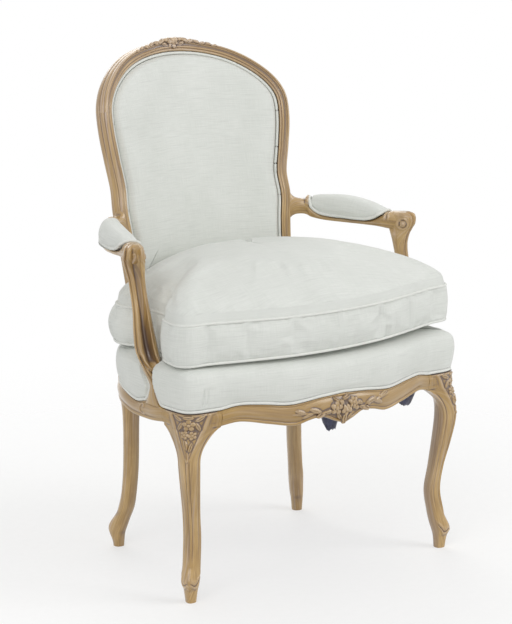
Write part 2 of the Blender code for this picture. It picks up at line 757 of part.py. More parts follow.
def cushion_rings(outline, drawn):
    """Rings of the cushion from its underside to its crown, drawn in by the cover's thickness."""
    groove = CUSHION_WELT * 1.8
    upper = LOWER_SEAM + CUSHION_BOX
    middle = LOWER_SEAM + CUSHION_BOX / 2
    under = SEAT_CROWN + CLEAR
    peak = Vector((0, CUSHION_PEAK_Y, 0))
    rings = [
        at_height(shrunk(outline, 0.55), under + drawn),
        at_height(shrunk(outline, 0.90), (under + LOWER_SEAM) / 2 - CUSHION_WELT + drawn),
    ]
    if drawn:
        sides = ((groove, LOWER_SEAM + drawn), (groove, middle), (groove, upper - drawn))
    else:
        sides = (
            (CUSHION_WELT, LOWER_SEAM - 1.8 * CUSHION_WELT),
            (groove, LOWER_SEAM - 1.1 * CUSHION_WELT),
            (groove, LOWER_SEAM + 1.1 * CUSHION_WELT),
            (0.0, LOWER_SEAM + 3 * CUSHION_WELT),
            (CUSHION_DRAW, middle),
            (0.0, upper - 3 * CUSHION_WELT),
            (groove, upper - 1.1 * CUSHION_WELT),
            (groove, upper + 1.1 * CUSHION_WELT),
            (CUSHION_WELT, upper + 3 * CUSHION_WELT),
        )
    rings += [at_height(inset(outline, back + drawn), z) for back, z in sides]
    for share, rise in ((0.92, 0.42), (0.78, 0.67), (0.55, 0.88), (0.28, 0.98)):
        rings.append(at_height(shrunk(outline, share, peak), upper + rise * CUSHION_CROWN - drawn))
    rings.append([peak + UP * (upper + CUSHION_CROWN - drawn)])
    return rings


def highest_crest(outline, k):
    """Highest moulding between the neighbours of a point of the seat's outline."""
    before, here, after = outline[k - 1], outline[k], outline[(k + 1) % len(outline)]
    steps = [here.lerp(end, share / 4) for end in (before, after) for share in range(5)]
    return max(crest_at(p) for p in steps)


def seat_rings(outline, drawn):
    """Rings of the tight seat from the mouldings to its crown."""
    low = [highest_crest(outline, k) + 2 * WELT_RADIUS + 2 * SLACK for k in range(len(outline))]
    tall = SEAT_CROWN - LEDGE
    rim = [Vector((p.x, p.y, z)) for p, z in zip(inset(outline, 0.25 * REBATE + drawn), low)]
    rings = [rim]
    for out, share in ((0.6, 0.32), (1.0, 0.55), (0.0, 0.76)):
        rings.append(at_height(inset(outline, drawn - out * SEAT_SWELL), LEDGE + share * tall - drawn))
    for back, share in ((SEAT_ROLL, 0.87), (3 * SEAT_ROLL, 0.94)):
        rings.append(at_height(inset(outline, back + drawn), LEDGE + share * tall - drawn))
    rings.append(at_height(shrunk(outline, 0.58), SEAT_CROWN - 0.02 * tall - drawn))
    rings.append([sum(outline, Vector()) / len(outline) + UP * (SEAT_CROWN - drawn)])
    return rings


def padding_outline(line, setback, count):
    """Outline of the back's padding in X and Z, drawn in from the frame's inner line."""
    foot = RAIL_TOP + BACK_FOOT + BACK_EDGE
    arch = [p for p in line if p.z > foot]
    low = straight([(p.z, p.x) for p in line[: len(line) // 2]], foot)
    middle = Vector((0, 0, foot))
    corner = Vector((low, 0, foot))
    loop = measured([middle, corner] + arch + [Vector((-low, 0, foot)), middle])
    ring = [straight(loop, k / count) for k in range(count)]
    moved = []
    for k, point in enumerate(ring):
        along = (ring[(k + 1) % count] - ring[k - 1]).normalized()
        moved.append(point + Vector((-along.z, 0, along.x)) * setback)
    return moved


def flat_rings(outline, proud):
    """Rings from the middle of the back out to its edge, at one height off its surface."""
    middle = sum(outline, Vector()) / len(outline)
    rings = [[on_back(middle.x, middle.z, proud)]]
    for share in (0.4, 0.72, 1.0):
        rings.append([on_back(p.x, p.z, proud) for p in shrunk(outline, share)])
    return rings


def padding_rings(outline, drawn, floor):
    """Rings of the back's padding, from the floor of the frame's rebate to its crown."""
    form = ((1.0, 0.1), (0.97, 0.40), (0.86, 0.70), (0.72, 0.85), (0.5, 0.95), (0.25, 0.99))
    rings = flat_rings(outline, floor)
    for share, proud in form:
        rings.append([on_back(p.x, p.z, proud * BACK_CROWN - drawn) for p in shrunk(outline, share)])
    middle = sum(outline, Vector()) / len(outline)
    return rings + [[on_back(middle.x, middle.z, BACK_CROWN - drawn)]]


def shell(name, outer, inner, surface, parent):
    """A cover: the outer form with the padding's form taken out of it."""
    cover = loft(name, outer, surface, parent)
    boolean(cover, helper(loft(name + "_hollow", inner, surface, parent)), "DIFFERENCE")
    return cover


def lowered(rings, drop):
    """Rings with the first one carried down, so that a cutter leaves the underside open."""
    return [[p - UP * drop for p in rings[0]]] + rings


def build_seat_frame(wood, root, line, joint):
    """Legs, posts and seat rails, with their tenons."""
    pieces = {}
    for name, side in SIDES:
        leg, post = sided(front_leg_rings(), side), sided(post_rings(line, joint), side)
        pieces[f"front_leg_{name}"] = loft(f"front_leg_{name}", leg, wood, root)
        pieces[f"rear_post_{name}"] = loft(f"rear_post_{name}", post, wood, root)
        span = POST_FACE - KNEE_Y - 2 * CLEAR
        rings = []
        for k in range(15):
            y = KNEE_Y + CLEAR + span * k / 14
            face, wider = side_face(y), skew(side_face, y)
            section = rail_section(side_crest(y), side_under(y))
            rings.append([Vector((face - back * wider, y, z)) for back, z in section])
        pieces[f"side_rail_{name}"] = loft(f"side_rail_{name}", sided(rings, side), wood, root)
    rings = []
    for k in range(25):
        x = (KNEE_X - CLEAR) * (k / 12 - 1)
        face = front_face(x)
        proud = CARVING_PROUD * bump(x, CARVING_HALF)
        section = rail_section(front_crest(x), front_under(x))
        rings.append([Vector((x, face + back - (proud if back < REBATE else 0), z)) for back, z in section])
    pieces["front_rail"] = loft("front_rail", rings, wood, root)
    rear_end = POST_X - POST_HALF - CLEAR
    section = rail_section(LEDGE, LEDGE - SIDE_DROP[-1][1])
    rings = [[Vector((x, SEAT_REAR - back, z)) for back, z in section] for x in (-rear_end, 0, rear_end)]
    pieces["rear_rail"] = loft("rear_rail", rings, wood, root)
    join_seat_frame(pieces)
    return pieces


def join_seat_frame(pieces):
    level = (RAIL_TOP + LEDGE) / 2 - TENON_HEIGHT / 4
    for name, side in SIDES:
        leg, post, rail = (pieces[f"{part}_{name}"] for part in ("front_leg", "rear_post", "side_rail"))
        x_axes = (Vector((1, 0, 0)), Vector((0, 1, 0)), UP)
        y_axes = (Vector((0, 1, 0)), Vector((1, 0, 0)), UP)
        sizes = (TENON_LENGTH, TENON_THICK, TENON_HEIGHT)
        front_y = front_face(KNEE_X) + RAIL_THICK * 0.6
        tenon(pieces["front_rail"], leg, Vector((side * KNEE_X, front_y, level)), x_axes, sizes)
        rail_x = side_face(KNEE_Y) - RAIL_THICK * 0.6
        tenon(rail, leg, Vector((side * rail_x, KNEE_Y, level)), y_axes, sizes)
        tenon(rail, post, Vector((side * POST_X, POST_FACE, level)), y_axes, sizes)
        rear_y = SEAT_REAR - REBATE - TENON_THICK * 0.55
        tenon(pieces["rear_rail"], post, Vector((side * (POST_X - POST_HALF), rear_y, level)), x_axes, sizes)


def build_back_frame(wood, root, pieces, line, joint):
    """Crest rail and bottom rail of the back, tenoned to the posts."""
    last = len(line) - 1
    rings = [frame_ring(line, k) for k in range(joint, last - joint + 1, 2)]
    if (last - 2 * joint) % 2:
        rings.append(frame_ring(line, last - joint))
    along = frame_axes(line, joint)[3]
    for ring, sign in ((rings[0], 1), (rings[-1], -1)):
        for p in ring:
            p += Vector((along.x * sign, along.y, along.z)) * CLEAR
    crest = loft("crest_rail", rings, wood, root)
    pieces["crest_rail"] = crest
    low = RAIL_TOP + BACK_FOOT + BACK_EDGE - BACK_RAIL_HEIGHT / 2
    end = BACK_LINE[0][0] * BACK_HALF - FRAME_TACK - CLEAR
    rings = []
    for k in range(9):
        x = end * (k / 4 - 1)
        corners = ((0, -FRAME_REBATE), (1, -FRAME_REBATE), (1, -FRAME_DEPTH), (0, -FRAME_DEPTH))
        rings.append([on_back(x, low + up * BACK_RAIL_HEIGHT, n) for up, n in corners])
    bottom = loft("back_bottom_rail", rings, wood, root)
    pieces["back_bottom_rail"] = bottom
    for name, side in SIDES:
        post = pieces[f"rear_post_{name}"]
        origin, out, front, along = (Vector((v.x * side, v.y, v.z)) for v in frame_axes(line, joint))
        centre = origin + out * 0.15 * SHOULDER_FACE - front * 0.58 * FRAME_DEPTH
        tenon(crest, post, centre, (along, front, out), (TENON_LENGTH, TENON_THICK, SHOULDER_FACE * 0.6))
        across = Vector((side, -side * 2 * BACK_CURVE * end * side, 0)).normalized()
        depth = Vector((-across.y, across.x, 0))
        middle = on_back(end * side, low + BACK_RAIL_HEIGHT / 2, -(FRAME_REBATE + FRAME_DEPTH) / 2)
        sizes = (TENON_LENGTH, TENON_THICK, BACK_RAIL_HEIGHT * 0.6)
        tenon(bottom, post, middle, (across, depth, UP), sizes)


def build_arms(wood, root, pieces, path):
    """Arms and their supports, with the room the supports need cut in the side rails."""
    for name, side in SIDES:
        console = loft(f"arm_support_{name}", sided(console_rings(0, 0), side), wood, root)
        arm = loft(f"arm_{name}", sided([arm_ring(path, share) for share in arm_shares()], side), wood, root)
        rail, post = pieces[f"side_rail_{name}"], pieces[f"rear_post_{name}"]
        room = sided(console_rings(SLACK, SLACK), side)
        boolean(rail, helper(loft(f"arm_support_room_{name}", room, wood, root)), "DIFFERENCE")
        axes = (UP, Vector((1, 0, 0)), Vector((0, 1, 0)))
        foot = Vector((side * CONSOLE_X, CONSOLE_Y, CONSOLE_FOOT))
        tenon(console, rail, foot, axes, (TENON_LENGTH, TENON_THICK, TENON_HEIGHT * 0.7))
        top = Vector((side * CONSOLE_X, CONSOLE_Y + CONSOLE_FORM[-1][1][0], CONSOLE_TOP))
        tenon(console, arm, top, axes, (TENON_LENGTH, TENON_THICK, TENON_HEIGHT * 0.6))
        start, across = arm_axes(path, 0)
        along = Vector((across.y * side, -across.x, 0))
        middle = ARM_UNDER + (ARM_FORM[0][1][1] + ARM_FORM[0][1][2]) / 2
        centre = Vector((start.x * side, start.y, middle))
        side_axes = (along, Vector((across.x * side, across.y, 0)), UP)
        tenon(arm, post, centre, side_axes, (TENON_LENGTH * 0.7, TENON_THICK, TENON_HEIGHT))
        pieces[f"arm_support_{name}"], pieces[f"arm_{name}"] = console, arm


def screw_rings(tip, axis, length, spread, extra):
    """A wood screw from its tip to its head, or the hole it needs with the given spread."""
    turn = axis.orthogonal().normalized()
    across = axis.cross(turn)
    sides = 8
    stations = (
        (-spread, SCREW_RADIUS + spread),
        (length - SCREW_HEAD_HEIGHT, SCREW_RADIUS + spread),
        (length - SCREW_HEAD_HEIGHT / 3, SCREW_HEAD + spread),
        (length + spread + extra, SCREW_HEAD + spread),
    )
    angles = [2 * math.pi * k / sides for k in range(sides)]
    around = [turn * math.cos(a) + across * math.sin(a) for a in angles]
    return [[tip + axis * reach + spoke * radius for spoke in around] for reach, radius in stations]


def block_plans():
    """Plan corners of the right-hand corner blocks, each with its two screws.

    A screw is given by its tip inside the rail, its direction towards the head and its length.
    """
    gap = RAIL_THICK + CLEAR
    x0, x1 = KNEE_X - BLOCK_DEPTH, KNEE_X - BLOCK_SETBACK
    y0, y1 = KNEE_Y + BLOCK_SETBACK, KNEE_Y + BLOCK_DEPTH
    along_front = [Vector((x, front_face(x) + gap * 1.04, 0)) for x in (x0, (x0 + x1) / 2, x1)]
    along_side = [Vector((side_face(y) - gap * 1.04, y, 0)) for y in (y0, (y0 + y1) / 2, y1)]
    front = along_front + along_side
    inner_y = SEAT_REAR - gap
    x2 = POST_X - POST_HALF - BLOCK_SETBACK
    y2 = POST_FACE - BLOCK_SETBACK - RAIL_THICK
    along_rear = [Vector((x2 - BLOCK_DEPTH, inner_y, 0)), Vector((x2, inner_y, 0))]
    facing = []
    for y in (POST_FACE - BLOCK_SETBACK, y2, y2 - BLOCK_DEPTH * 0.6):
        facing.append(Vector((side_face(y) - (gap + CLEAR) * skew(side_face, y), y, 0)))
    rear = along_rear + facing
    return (("front", front, screws_for(front, 1, 4)), ("rear", rear, screws_for(rear, 0.5, 3.5)))


def screws_for(corners, near, far):
    """Screws that cross a block square to its two rails, from its free inner face."""
    screws = []
    count = len(corners)
    for place_on in (near, far):
        k = int(place_on)
        a, b = corners[k], corners[k + 1]
        on_rail = a.lerp(b, place_on - k) if place_on > k else a
        before = corners[k - 1] if place_on == k else a
        along = (b - before).normalized()
        inward = Vector((-along.y, along.x, 0))
        middle = sum(corners, Vector()) / count
        if inward.dot(middle - on_rail) < 0:
            inward.negate()
        free = (corners[-1] - corners[0]).normalized()
        normal = Vector((-free.y, free.x, 0))
        depth = normal.dot(corners[0] - on_rail) / normal.dot(inward)
        screws.append((on_rail - inward * SCREW_GRIP, inward, depth + SCREW_GRIP))
    return screws


def build_blocks(wood, metal, root, pieces):
    top = RAIL_TOP - BLOCK_DROP
    level = top - BLOCK_HEIGHT / 2
    for name, side in SIDES:
        for end, corners, screws in block_plans():
            rings = sided([at_height(corners, z) for z in (top - BLOCK_HEIGHT, top)], side)
            corner = loft(f"corner_block_{end}_{name}", rings, wood, root)
            crossed = pieces["front_rail" if end == "front" else "rear_rail"], pieces[f"side_rail_{name}"]
            for number, ((tip, axis, length), rail) in enumerate(zip(screws, crossed), 1):
                label = f"block_screw_{end}_{name}_{number}"
                tip = Vector((tip.x * side, tip.y, level))
                axis = Vector((axis.x * side, axis.y, 0))
                loft(label, screw_rings(tip, axis, length, 0, 0), metal, root)
                bore = screw_rings(tip, axis, length, CLEAR, BLOCK_DEPTH)
                hole = helper(loft(label + "_hole", bore, metal, root))
                boolean(corner, hole, "DIFFERENCE")
                boolean(rail, hole, "DIFFERENCE")


def build_webbing(jute, root):
    """Two layers of straps on the rails; returns the height on top of them."""
    low = RAIL_TOP + CLEAR
    high = low + STRAP_THICK + CLEAR
    x_axes = (Vector((1, 0, 0)), Vector((0, 1, 0)), UP)
    for k in range(STRAPS_ALONG):
        x = (k - (STRAPS_ALONG - 1) / 2) * 2 * (POST_X - POST_HALF - STRAP_WIDTH / 2) / STRAPS_ALONG
        start = max(front_face(x - STRAP_WIDTH / 2), front_face(x + STRAP_WIDTH / 2)) + RAIL_THICK - STRAP_LAP
        end = SEAT_REAR - RAIL_THICK + STRAP_LAP
        centre = Vector((x, (start + end) / 2, low + STRAP_THICK / 2))
        block(f"webbing_along_{k + 1}", centre, x_axes, (STRAP_WIDTH, end - start, STRAP_THICK), jute, root)
    room = POST_FACE - RAIL_THICK - KNEE_Y - STRAP_WIDTH
    for k in range(STRAPS_ACROSS):
        y = KNEE_Y + STRAP_WIDTH / 2 + room * k / (STRAPS_ACROSS - 1)
        rail = min(side_face(y - STRAP_WIDTH / 2), side_face(y + STRAP_WIDTH / 2)) - RAIL_THICK
        reach = min(rail + STRAP_LAP, CONSOLE_X - console_widest(0, CONSOLE_NECK) - SLACK)
        centre = Vector((0, y, high + STRAP_THICK / 2))
        block(f"webbing_across_{k + 1}", centre, x_axes, (2 * reach, STRAP_WIDTH, STRAP_THICK), jute, root)
    return high + STRAP_THICK + CLEAR


def build_seat(cloth, jute, hair, root, line):
    """Webbing, hessian, stuffing and cover of the tight seat, with its welts."""
    outline = spaced(mirrored(plan_half()), OUTLINE_POINTS)
    base = build_webbing(jute, root)
    sheet = inset(outline, RAIL_THICK)
    hessian = loft("seat_hessian", [at_height(sheet, z) for z in (base, base + HESSIAN_THICK)], jute, root)
    stuffing_base = base + HESSIAN_THICK + CLEAR
    padding = seat_rings(outline, COVER_THICK + CLEAR)
    floor = at_height(padding[1], stuffing_base)
    stuffing = loft("seat_stuffing", [floor] + padding[2:], hair, root)
    hollow = seat_rings(outline, COVER_THICK)
    cover = shell("seat_cover", seat_rings(outline, 0), lowered(hollow, TACK_BAND), cloth, root)
    slot = 2 * (WELT_RADIUS + CLEAR) + CLEAR
    for name, side in SIDES:
        rings = sided(post_slot(slot, line), side)
        post = helper(loft(f"post_slot_{name}", rings, cloth, root))
        for soft in (cover, stuffing, hessian):
            boolean(soft, post, "DIFFERENCE", "MANIFOLD")
        for soft, spread in ((cover, slot), (stuffing, slot + COVER_THICK)):
            room = sided(console_rings(2 * spread, spread), side)
            stops = helper(loft(f"{soft.name}_slot_{name}", room, cloth, root))
            boolean(soft, stops, "DIFFERENCE", "MANIFOLD")
    build_seat_welts(cloth, root)


def post_slot(spread, line):
    """Room for a rear post through the seat."""
    rings = []
    for ring in (post_ring(LEDGE), post_ring(RAIL_TOP), frame_ring(line, 0)):
        middle = sum(ring, Vector()) / len(ring)
        rings.append([p + (p - middle).normalized() * spread * 1.4 for p in ring])
    rings[0] = [p - UP * TACK_BAND for p in rings[0]]
    return rings


def build_seat_welts(cloth, root):
    """Welts on the mouldings: round the front, along each side and across the back."""
    around = spaced(mirrored(plan_half()), OUTLINE_POINTS * 3)
    line = inset(around, WELT_RADIUS + 0.4 * (REBATE - 2 * WELT_RADIUS))
    path = [Vector((p.x, p.y, crest_at(p) + WELT_RADIUS + SLACK)) for p in line]
    foot = CONSOLE_FORM[0][1][2] + WELT_RADIUS + 2 * CLEAR
    right = [p for p in path if p.x >= 0]
    front = [p for p in right if p.y < CONSOLE_Y - foot]
    riser = console_riser(-1)
    ahead = front + riser
    mirror = [Vector((-p.x, p.y, p.z)) for p in reversed(ahead) if p.x > CLEAR]
    piping("seat_welt_front", mirror + ahead, WELT_RADIUS, False, cloth, root)
    stop = POST_FACE - 3 * WELT_RADIUS
    for name, side in SIDES:
        beside = console_riser(1)[::-1] + [p for p in right if CONSOLE_Y + foot < p.y < stop and p.x > POST_X]
        piping(f"seat_welt_{name}", sided([beside], side)[0], WELT_RADIUS, False, cloth, root)
    end = POST_X - POST_HALF - 2 * WELT_RADIUS
    level = LEDGE + WELT_RADIUS + CLEAR
    behind = [Vector((end * (k / 2 - 1), SEAT_REAR - WELT_RADIUS - CLEAR, level)) for k in range(5)]
    piping("seat_welt_rear", behind, WELT_RADIUS, False, cloth, root)


def console_riser(side):
    """The welt's climb beside an arm support, in front of it (-1) or behind it (1)."""
    points = []
    gap = WELT_RADIUS + 1.5 * CLEAR
    tall = CONSOLE_TOP - CONSOLE_FOOT
    for share in (0.015, 0.065, 0.143, CONSOLE_NECK):
        form = straight(CONSOLE_FORM, share)
        half = max(p.y for p in console_section(form, 0, 0))
        y = CONSOLE_Y + form[0] + side * (half + gap)
        points.append(Vector((SEAT_HALF - REBATE * 0.6, y, CONSOLE_FOOT + share * tall)))
    return points


def build_dust_cover(dark, root):
    """Thin cloth tacked inside the seat rails, which sags and bags below them."""
    gap = RAIL_THICK + 4 * SLACK
    along = (0, 0.2, 0.4, 0.6, 0.8, 0.92)
    half = [Vector((share * KNEE_X, front_face(share * KNEE_X) + gap, 0)) for share in along]
    for share in (0.07, 0.2, 0.35, 0.5, 0.65, 0.8):
        y = KNEE_Y + share * (POST_FACE - KNEE_Y)
        half.append(Vector((side_face(y) - gap * skew(side_face, y), y, 0)))
    half += [Vector((share * POST_X, SEAT_REAR - gap, 0)) for share in (0.85, 0.6, 0.3, 0)]
    outline = spaced(mirrored(half), OUTLINE_POINTS)
    rim = RAIL_TOP - BLOCK_DROP - BLOCK_HEIGHT - DUST_THICK - CLEAR
    upper, lower = [], []
    for share, sag in ((1.0, 0.0), (0.97, 0.4), (0.93, 0.7), (0.85, 0.9), (0.7, 1.0), (0.4, 0.9)):
        ring = []
        for k, p in enumerate(shrunk(outline, share)):
            fold = 1 + DUST_FOLD * math.sin(DUST_FOLDS * 2 * math.pi * k / OUTLINE_POINTS)
            bag = sum(depth * bump((p.xy - Vector(place)).length, reach) for place, reach, depth in DUST_BAGS)
            fall = DUST_SAG * sag * fold + bag * min(sag / 0.7, 1)
            ring.append(Vector((p.x, p.y, rim - fall)))
        upper.append(ring)
        lower.append([p - UP * DUST_THICK for p in ring])
    loft("dust_cover", upper[::-1] + lower, dark, root)


def build_back(cloth, jute, hair, root, line):
    """Hessian, stuffing, cover and welt of the back, and the panel behind it."""
    floor = -FRAME_REBATE + 2 * CLEAR
    welt = padding_outline(line, WELT_RADIUS + 2 * CLEAR, 3 * OUTLINE_POINTS // 2)
    path = [on_back(p.x, p.z, floor + WELT_RADIUS) for p in welt]
    piping("back_welt", path, WELT_RADIUS, True, cloth, root)
    edge = 2 * WELT_RADIUS + 6 * CLEAR
    outline = padding_outline(line, edge, OUTLINE_POINTS)
    padded = floor + HESSIAN_THICK + CLEAR
    hessian = flat_rings(outline, floor) + flat_rings(outline, floor + HESSIAN_THICK)[::-1]
    loft("back_hessian", hessian, jute, root)
    inside = padding_outline(line, edge + COVER_THICK, OUTLINE_POINTS)
    hollow = padding_rings(inside, COVER_THICK, padded - COVER_THICK)
    shell("back_cover", padding_rings(outline, 0, padded), hollow, cloth, root)
    within = COVER_THICK + 1.5 * SLACK
    filled = padding_outline(line, edge + within, OUTLINE_POINTS)
    loft("back_stuffing", padding_rings(filled, within, padded + 2 * SLACK), hair, root)
    low = RAIL_TOP + BACK_FOOT + BACK_EDGE + BACK_RAIL_HEIGHT / 2 + CLEAR
    opening = padding_outline(line, FRAME_TACK + 2 * SLACK, OUTLINE_POINTS)
    panel = [Vector((p.x, 0, max(p.z, low))) for p in opening]
    rings = flat_rings(panel, -FRAME_DEPTH) + flat_rings(panel, PANEL_THICK - FRAME_DEPTH)[::-1]
    loft("outside_back", rings, cloth, root)


def build_arm_pads(cloth, hair, root, path):
    for name, side in SIDES:
        outer = sided(pad_rings(path, 0, 0), side)
        hollow = sided(pad_rings(path, COVER_THICK, COVER_THICK), side)
        shell(f"arm_pad_cover_{name}", outer, hollow, cloth, root)
        loft(f"arm_pad_stuffing_{name}", sided(pad_rings(path, COVER_THICK + SLACK, 0), side), hair, root)
        welt = sided([arm_welt(path)], side)[0]
        piping(f"arm_pad_welt_{name}", welt, WELT_RADIUS, True, cloth, root)


def arm_welt(path):
    """The welt under a pad's edge: along the arm's sides and across it before and behind the pad."""
    start, end = PAD_SPAN
    before, after = start - PAD_WELT_STEP, end + PAD_WELT_STEP
    points = []
    for sign in (1, -1):
        shares = [start] + arm_shares(start + PAD_WELT_STEP, end - PAD_WELT_STEP) + [end]
        ends = (before, after)[::sign]
        stations = [(ends[0], 0.6, 1), (ends[0], 1.0, 1)]
        stations += [(share, None, -1) for share in shares[::sign]]
        stations += [(ends[1], 1.0, 1), (ends[1], 0.6, 1)]
        for share, width, level in stations:
            centre, across = arm_axes(path, share)
            half = straight(ARM_FORM, share)[0]
            if width is None:
                reach = half + WELT_RADIUS + 2 * CLEAR
            else:
                reach = half * width + (WELT_RADIUS if width == 1.0 else 0)
            lift = 1.5 * WELT_RADIUS + CLEAR if level > 0 else -WELT_RADIUS - CLEAR
            points.append(centre + across * (sign * reach) + UP * (arm_bed(share) + lift))
    return points


def build_cushion(cloth, hair, metal, root):
    """The loose cushion: core, cover with its zip, and two welts."""
    lift = bpy.data.objects.new("cushion_lift", None)
    bpy.context.collection.objects.link(lift)
    lift.parent = root
    outline = spaced(mirrored(cushion_half()), OUTLINE_POINTS)
    hollow = cushion_rings(outline, COVER_THICK)
    cover = shell("cushion_cover", cushion_rings(outline, 0), hollow, cloth, lift)
    loft("cushion_core", cushion_rings(outline, COVER_THICK + CLEAR), hair, lift)
    groove = CUSHION_WELT * 1.8 - CUSHION_WELT - CLEAR
    for name, z in (("lower", LOWER_SEAM), ("upper", LOWER_SEAM + CUSHION_BOX)):
        path = at_height(inset(outline, groove), z)
        piping(f"cushion_welt_{name}", path, CUSHION_WELT, True, cloth, lift)
    slot = zip_rings(outline, CLEAR, ZIP_HEIGHT, -ZIP_HEIGHT)
    boolean(cover, helper(loft("zip_slot", slot, cloth, lift)), "DIFFERENCE")
    face = CUSHION_DRAW + 2 * CLEAR
    loft("cushion_zip", zip_rings(outline, 0, face + ZIP_THICK, face), metal, lift)


def zip_rings(outline, spread, deep, shallow):
    """Rings along the rear boxing between two depths, for the zip or the slot that it closes."""
    rear = sorted((p.x, p.y) for p in outline if p.y > 0)
    level = LOWER_SEAM + CUSHION_BOX / 2
    steps = 8
    rings = []
    for k in range(steps + 1):
        x = (ZIP_LENGTH / 2 + spread) * (2 * k / steps - 1)
        y = straight(rear, x)
        tall = ZIP_HEIGHT / 2 + spread
        corners = ((shallow, -tall), (deep, -tall), (deep, tall), (shallow, tall))
        rings.append([Vector((x, y - back, level + z)) for back, z in corners])
    return rings


def main():
    for old in list(bpy.data.objects):
        bpy.data.objects.remove(old, do_unlink=True)
    line = back_line()
    root = bpy.data.objects.new("fauteuil", None)
    bpy.context.collection.objects.link(root)
    root.location.y = -(SEAT_FRONT - CARVING_PROUD + rearmost(line)) / 2
    wood = material("carved_beech", (0.36, 0.20, 0.09), 0.45)
    pine = material("block_pine", (0.55, 0.40, 0.22), 0.7)
    cloth = material("celadon_linen", (0.72, 0.75, 0.69), 0.85)
    dark = material("navy_cambric", (0.02, 0.03, 0.08), 0.7)
    jute = material("jute", (0.45, 0.34, 0.20), 0.9)
    hair = material("curled_hair", (0.12, 0.09, 0.07), 0.95)
    steel = material("steel", (0.45, 0.45, 0.45), 0.4)
    steel.node_tree.nodes["Principled BSDF"].inputs["Metallic"].default_value = 1
    rise = RAIL_TOP + BACK_FOOT + CREST_JOINT * (BACK_RISE - BACK_FOOT)
    joint = min(range(len(line) // 2), key=lambda k: abs(line[k].z - rise))
    path = arm_path(line)
    pieces = build_seat_frame(wood, root, line, joint)
    build_back_frame(wood, root, pieces, line, joint)
    build_arms(wood, root, pieces, path)
    build_blocks(pine, steel, root, pieces)
    build_seat(cloth, jute, hair, root, line)
    build_dust_cover(dark, root)
    build_back(cloth, jute, hair, root, line)
    build_arm_pads(cloth, hair, root, path)
    build_cushion(cloth, hair, steel, root)


main()
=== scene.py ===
"""Looks of an upholstered open armchair (fauteuil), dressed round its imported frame.

Metres, in the row frame. Wood is lofted again at carving resolution over the frame's own lines, and
covers are sewn panels, of which the cushion's swells as cloth. Every shape is worked out for the right-hand
side in the chair's own frame (X right, front towards -Y, floor at 0) and then moved by SHIFT.
"""

import math

import bpy
import numpy as np
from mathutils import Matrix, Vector


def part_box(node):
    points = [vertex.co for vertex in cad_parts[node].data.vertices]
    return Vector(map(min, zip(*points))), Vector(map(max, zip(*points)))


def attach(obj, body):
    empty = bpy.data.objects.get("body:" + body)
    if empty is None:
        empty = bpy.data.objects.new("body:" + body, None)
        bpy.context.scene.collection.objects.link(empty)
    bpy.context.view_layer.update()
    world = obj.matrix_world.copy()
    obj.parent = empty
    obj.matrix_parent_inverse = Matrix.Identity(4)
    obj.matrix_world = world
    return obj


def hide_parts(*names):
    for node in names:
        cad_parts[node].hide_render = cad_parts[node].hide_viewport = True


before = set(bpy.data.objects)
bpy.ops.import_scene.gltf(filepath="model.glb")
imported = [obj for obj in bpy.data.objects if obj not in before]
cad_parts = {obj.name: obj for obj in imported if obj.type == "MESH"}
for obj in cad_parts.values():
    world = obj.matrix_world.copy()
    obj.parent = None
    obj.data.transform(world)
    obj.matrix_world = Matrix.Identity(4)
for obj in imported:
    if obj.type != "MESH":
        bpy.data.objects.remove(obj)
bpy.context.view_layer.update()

# Seat frame, as built
SEAT_HALF = 0.310
REAR_HALF = 0.2125
SEAT_FRONT = -0.270
SEAT_REAR = 0.163
SEAT_BOW = 0.0495
RAIL_TOP = 0.372
RAIL_THICK = 0.030
TACK_BAND = 0.024
REBATE = 0.008
CARVING_PROUD = 0.007
LEDGE = RAIL_TOP - TACK_BAND
CORNER_Y = SEAT_FRONT + SEAT_BOW
SEAT_DEPTH = SEAT_REAR - SEAT_FRONT
FRONT_PLAN = ((0, 0), (0.323, 0.19), (0.58, 0.60), (0.758, 1.0), (0.91, 1.06), (0.976, 1.32))
SIDE_PLAN = (
    (SEAT_HALF * 0.995, 0.2425), (SEAT_HALF, 0.3926), (SEAT_HALF * 0.968, 0.6236),
    (SEAT_HALF * 0.861, 0.785), (REAR_HALF, 0.926),
)
REAR_PLAN = (0.84, 0.45, 0)

# Legs and posts, as built
FOOT_INSET = 0.0245
KNEE_SPAN = 0.076
KNEE = 0.74 * LEDGE
EAR = 0.915 * LEDGE
POST_HALF = 0.018
POST_INSET = 0.0015
POST_BACK = 0.004
POST_X = REAR_HALF - POST_HALF - POST_INSET
POST_Y = SEAT_REAR + POST_BACK - POST_HALF
POST_FACE = POST_Y - POST_HALF
KNEE_X = SEAT_HALF - KNEE_SPAN
KNEE_Y = CORNER_Y + KNEE_SPAN

# Arms, as built
ARM_UNDER = RAIL_TOP + 0.222
CONSOLE_X = SEAT_HALF - 0.011
CONSOLE_Y = -0.110
CONSOLE_FOOT = LEDGE + 0.0005
CONSOLE_TURN = math.radians(35)
CONSOLE_SWEEP = 0.064
ARM_OVERHANG = 0.022
ARM_FLARE = 0.0115
ARM_BED = 0.011
PAD_HALF = 0.0262
PAD_LIFT = 0.002
PAD_SPAN = (0.154, 0.788)

# Back, as built
BACK_HALF = 0.1905
BACK_FOOT = RAIL_TOP + 0.123
BACK_RISE = 0.555 - 0.123
BACK_DATUM_Y = 0.211
BACK_LEAN = 0.218
BACK_CURVE = 0.057 / BACK_HALF**2
FRAME_DEPTH = 0.026
FRAME_REBATE = 0.007
FRAME_TACK = 0.013
WAIST_FACE = 0.0175
SHOULDER_FACE = 0.0195
CREST_CARVING = 0.004
CREST_CARVING_HALF = 0.065
CREST_JOINT = 0.77
BACK_RAIL_HEIGHT = 0.030
BACK_CROWN = 0.028
PADDING_FOOT = BACK_FOOT + 0.025

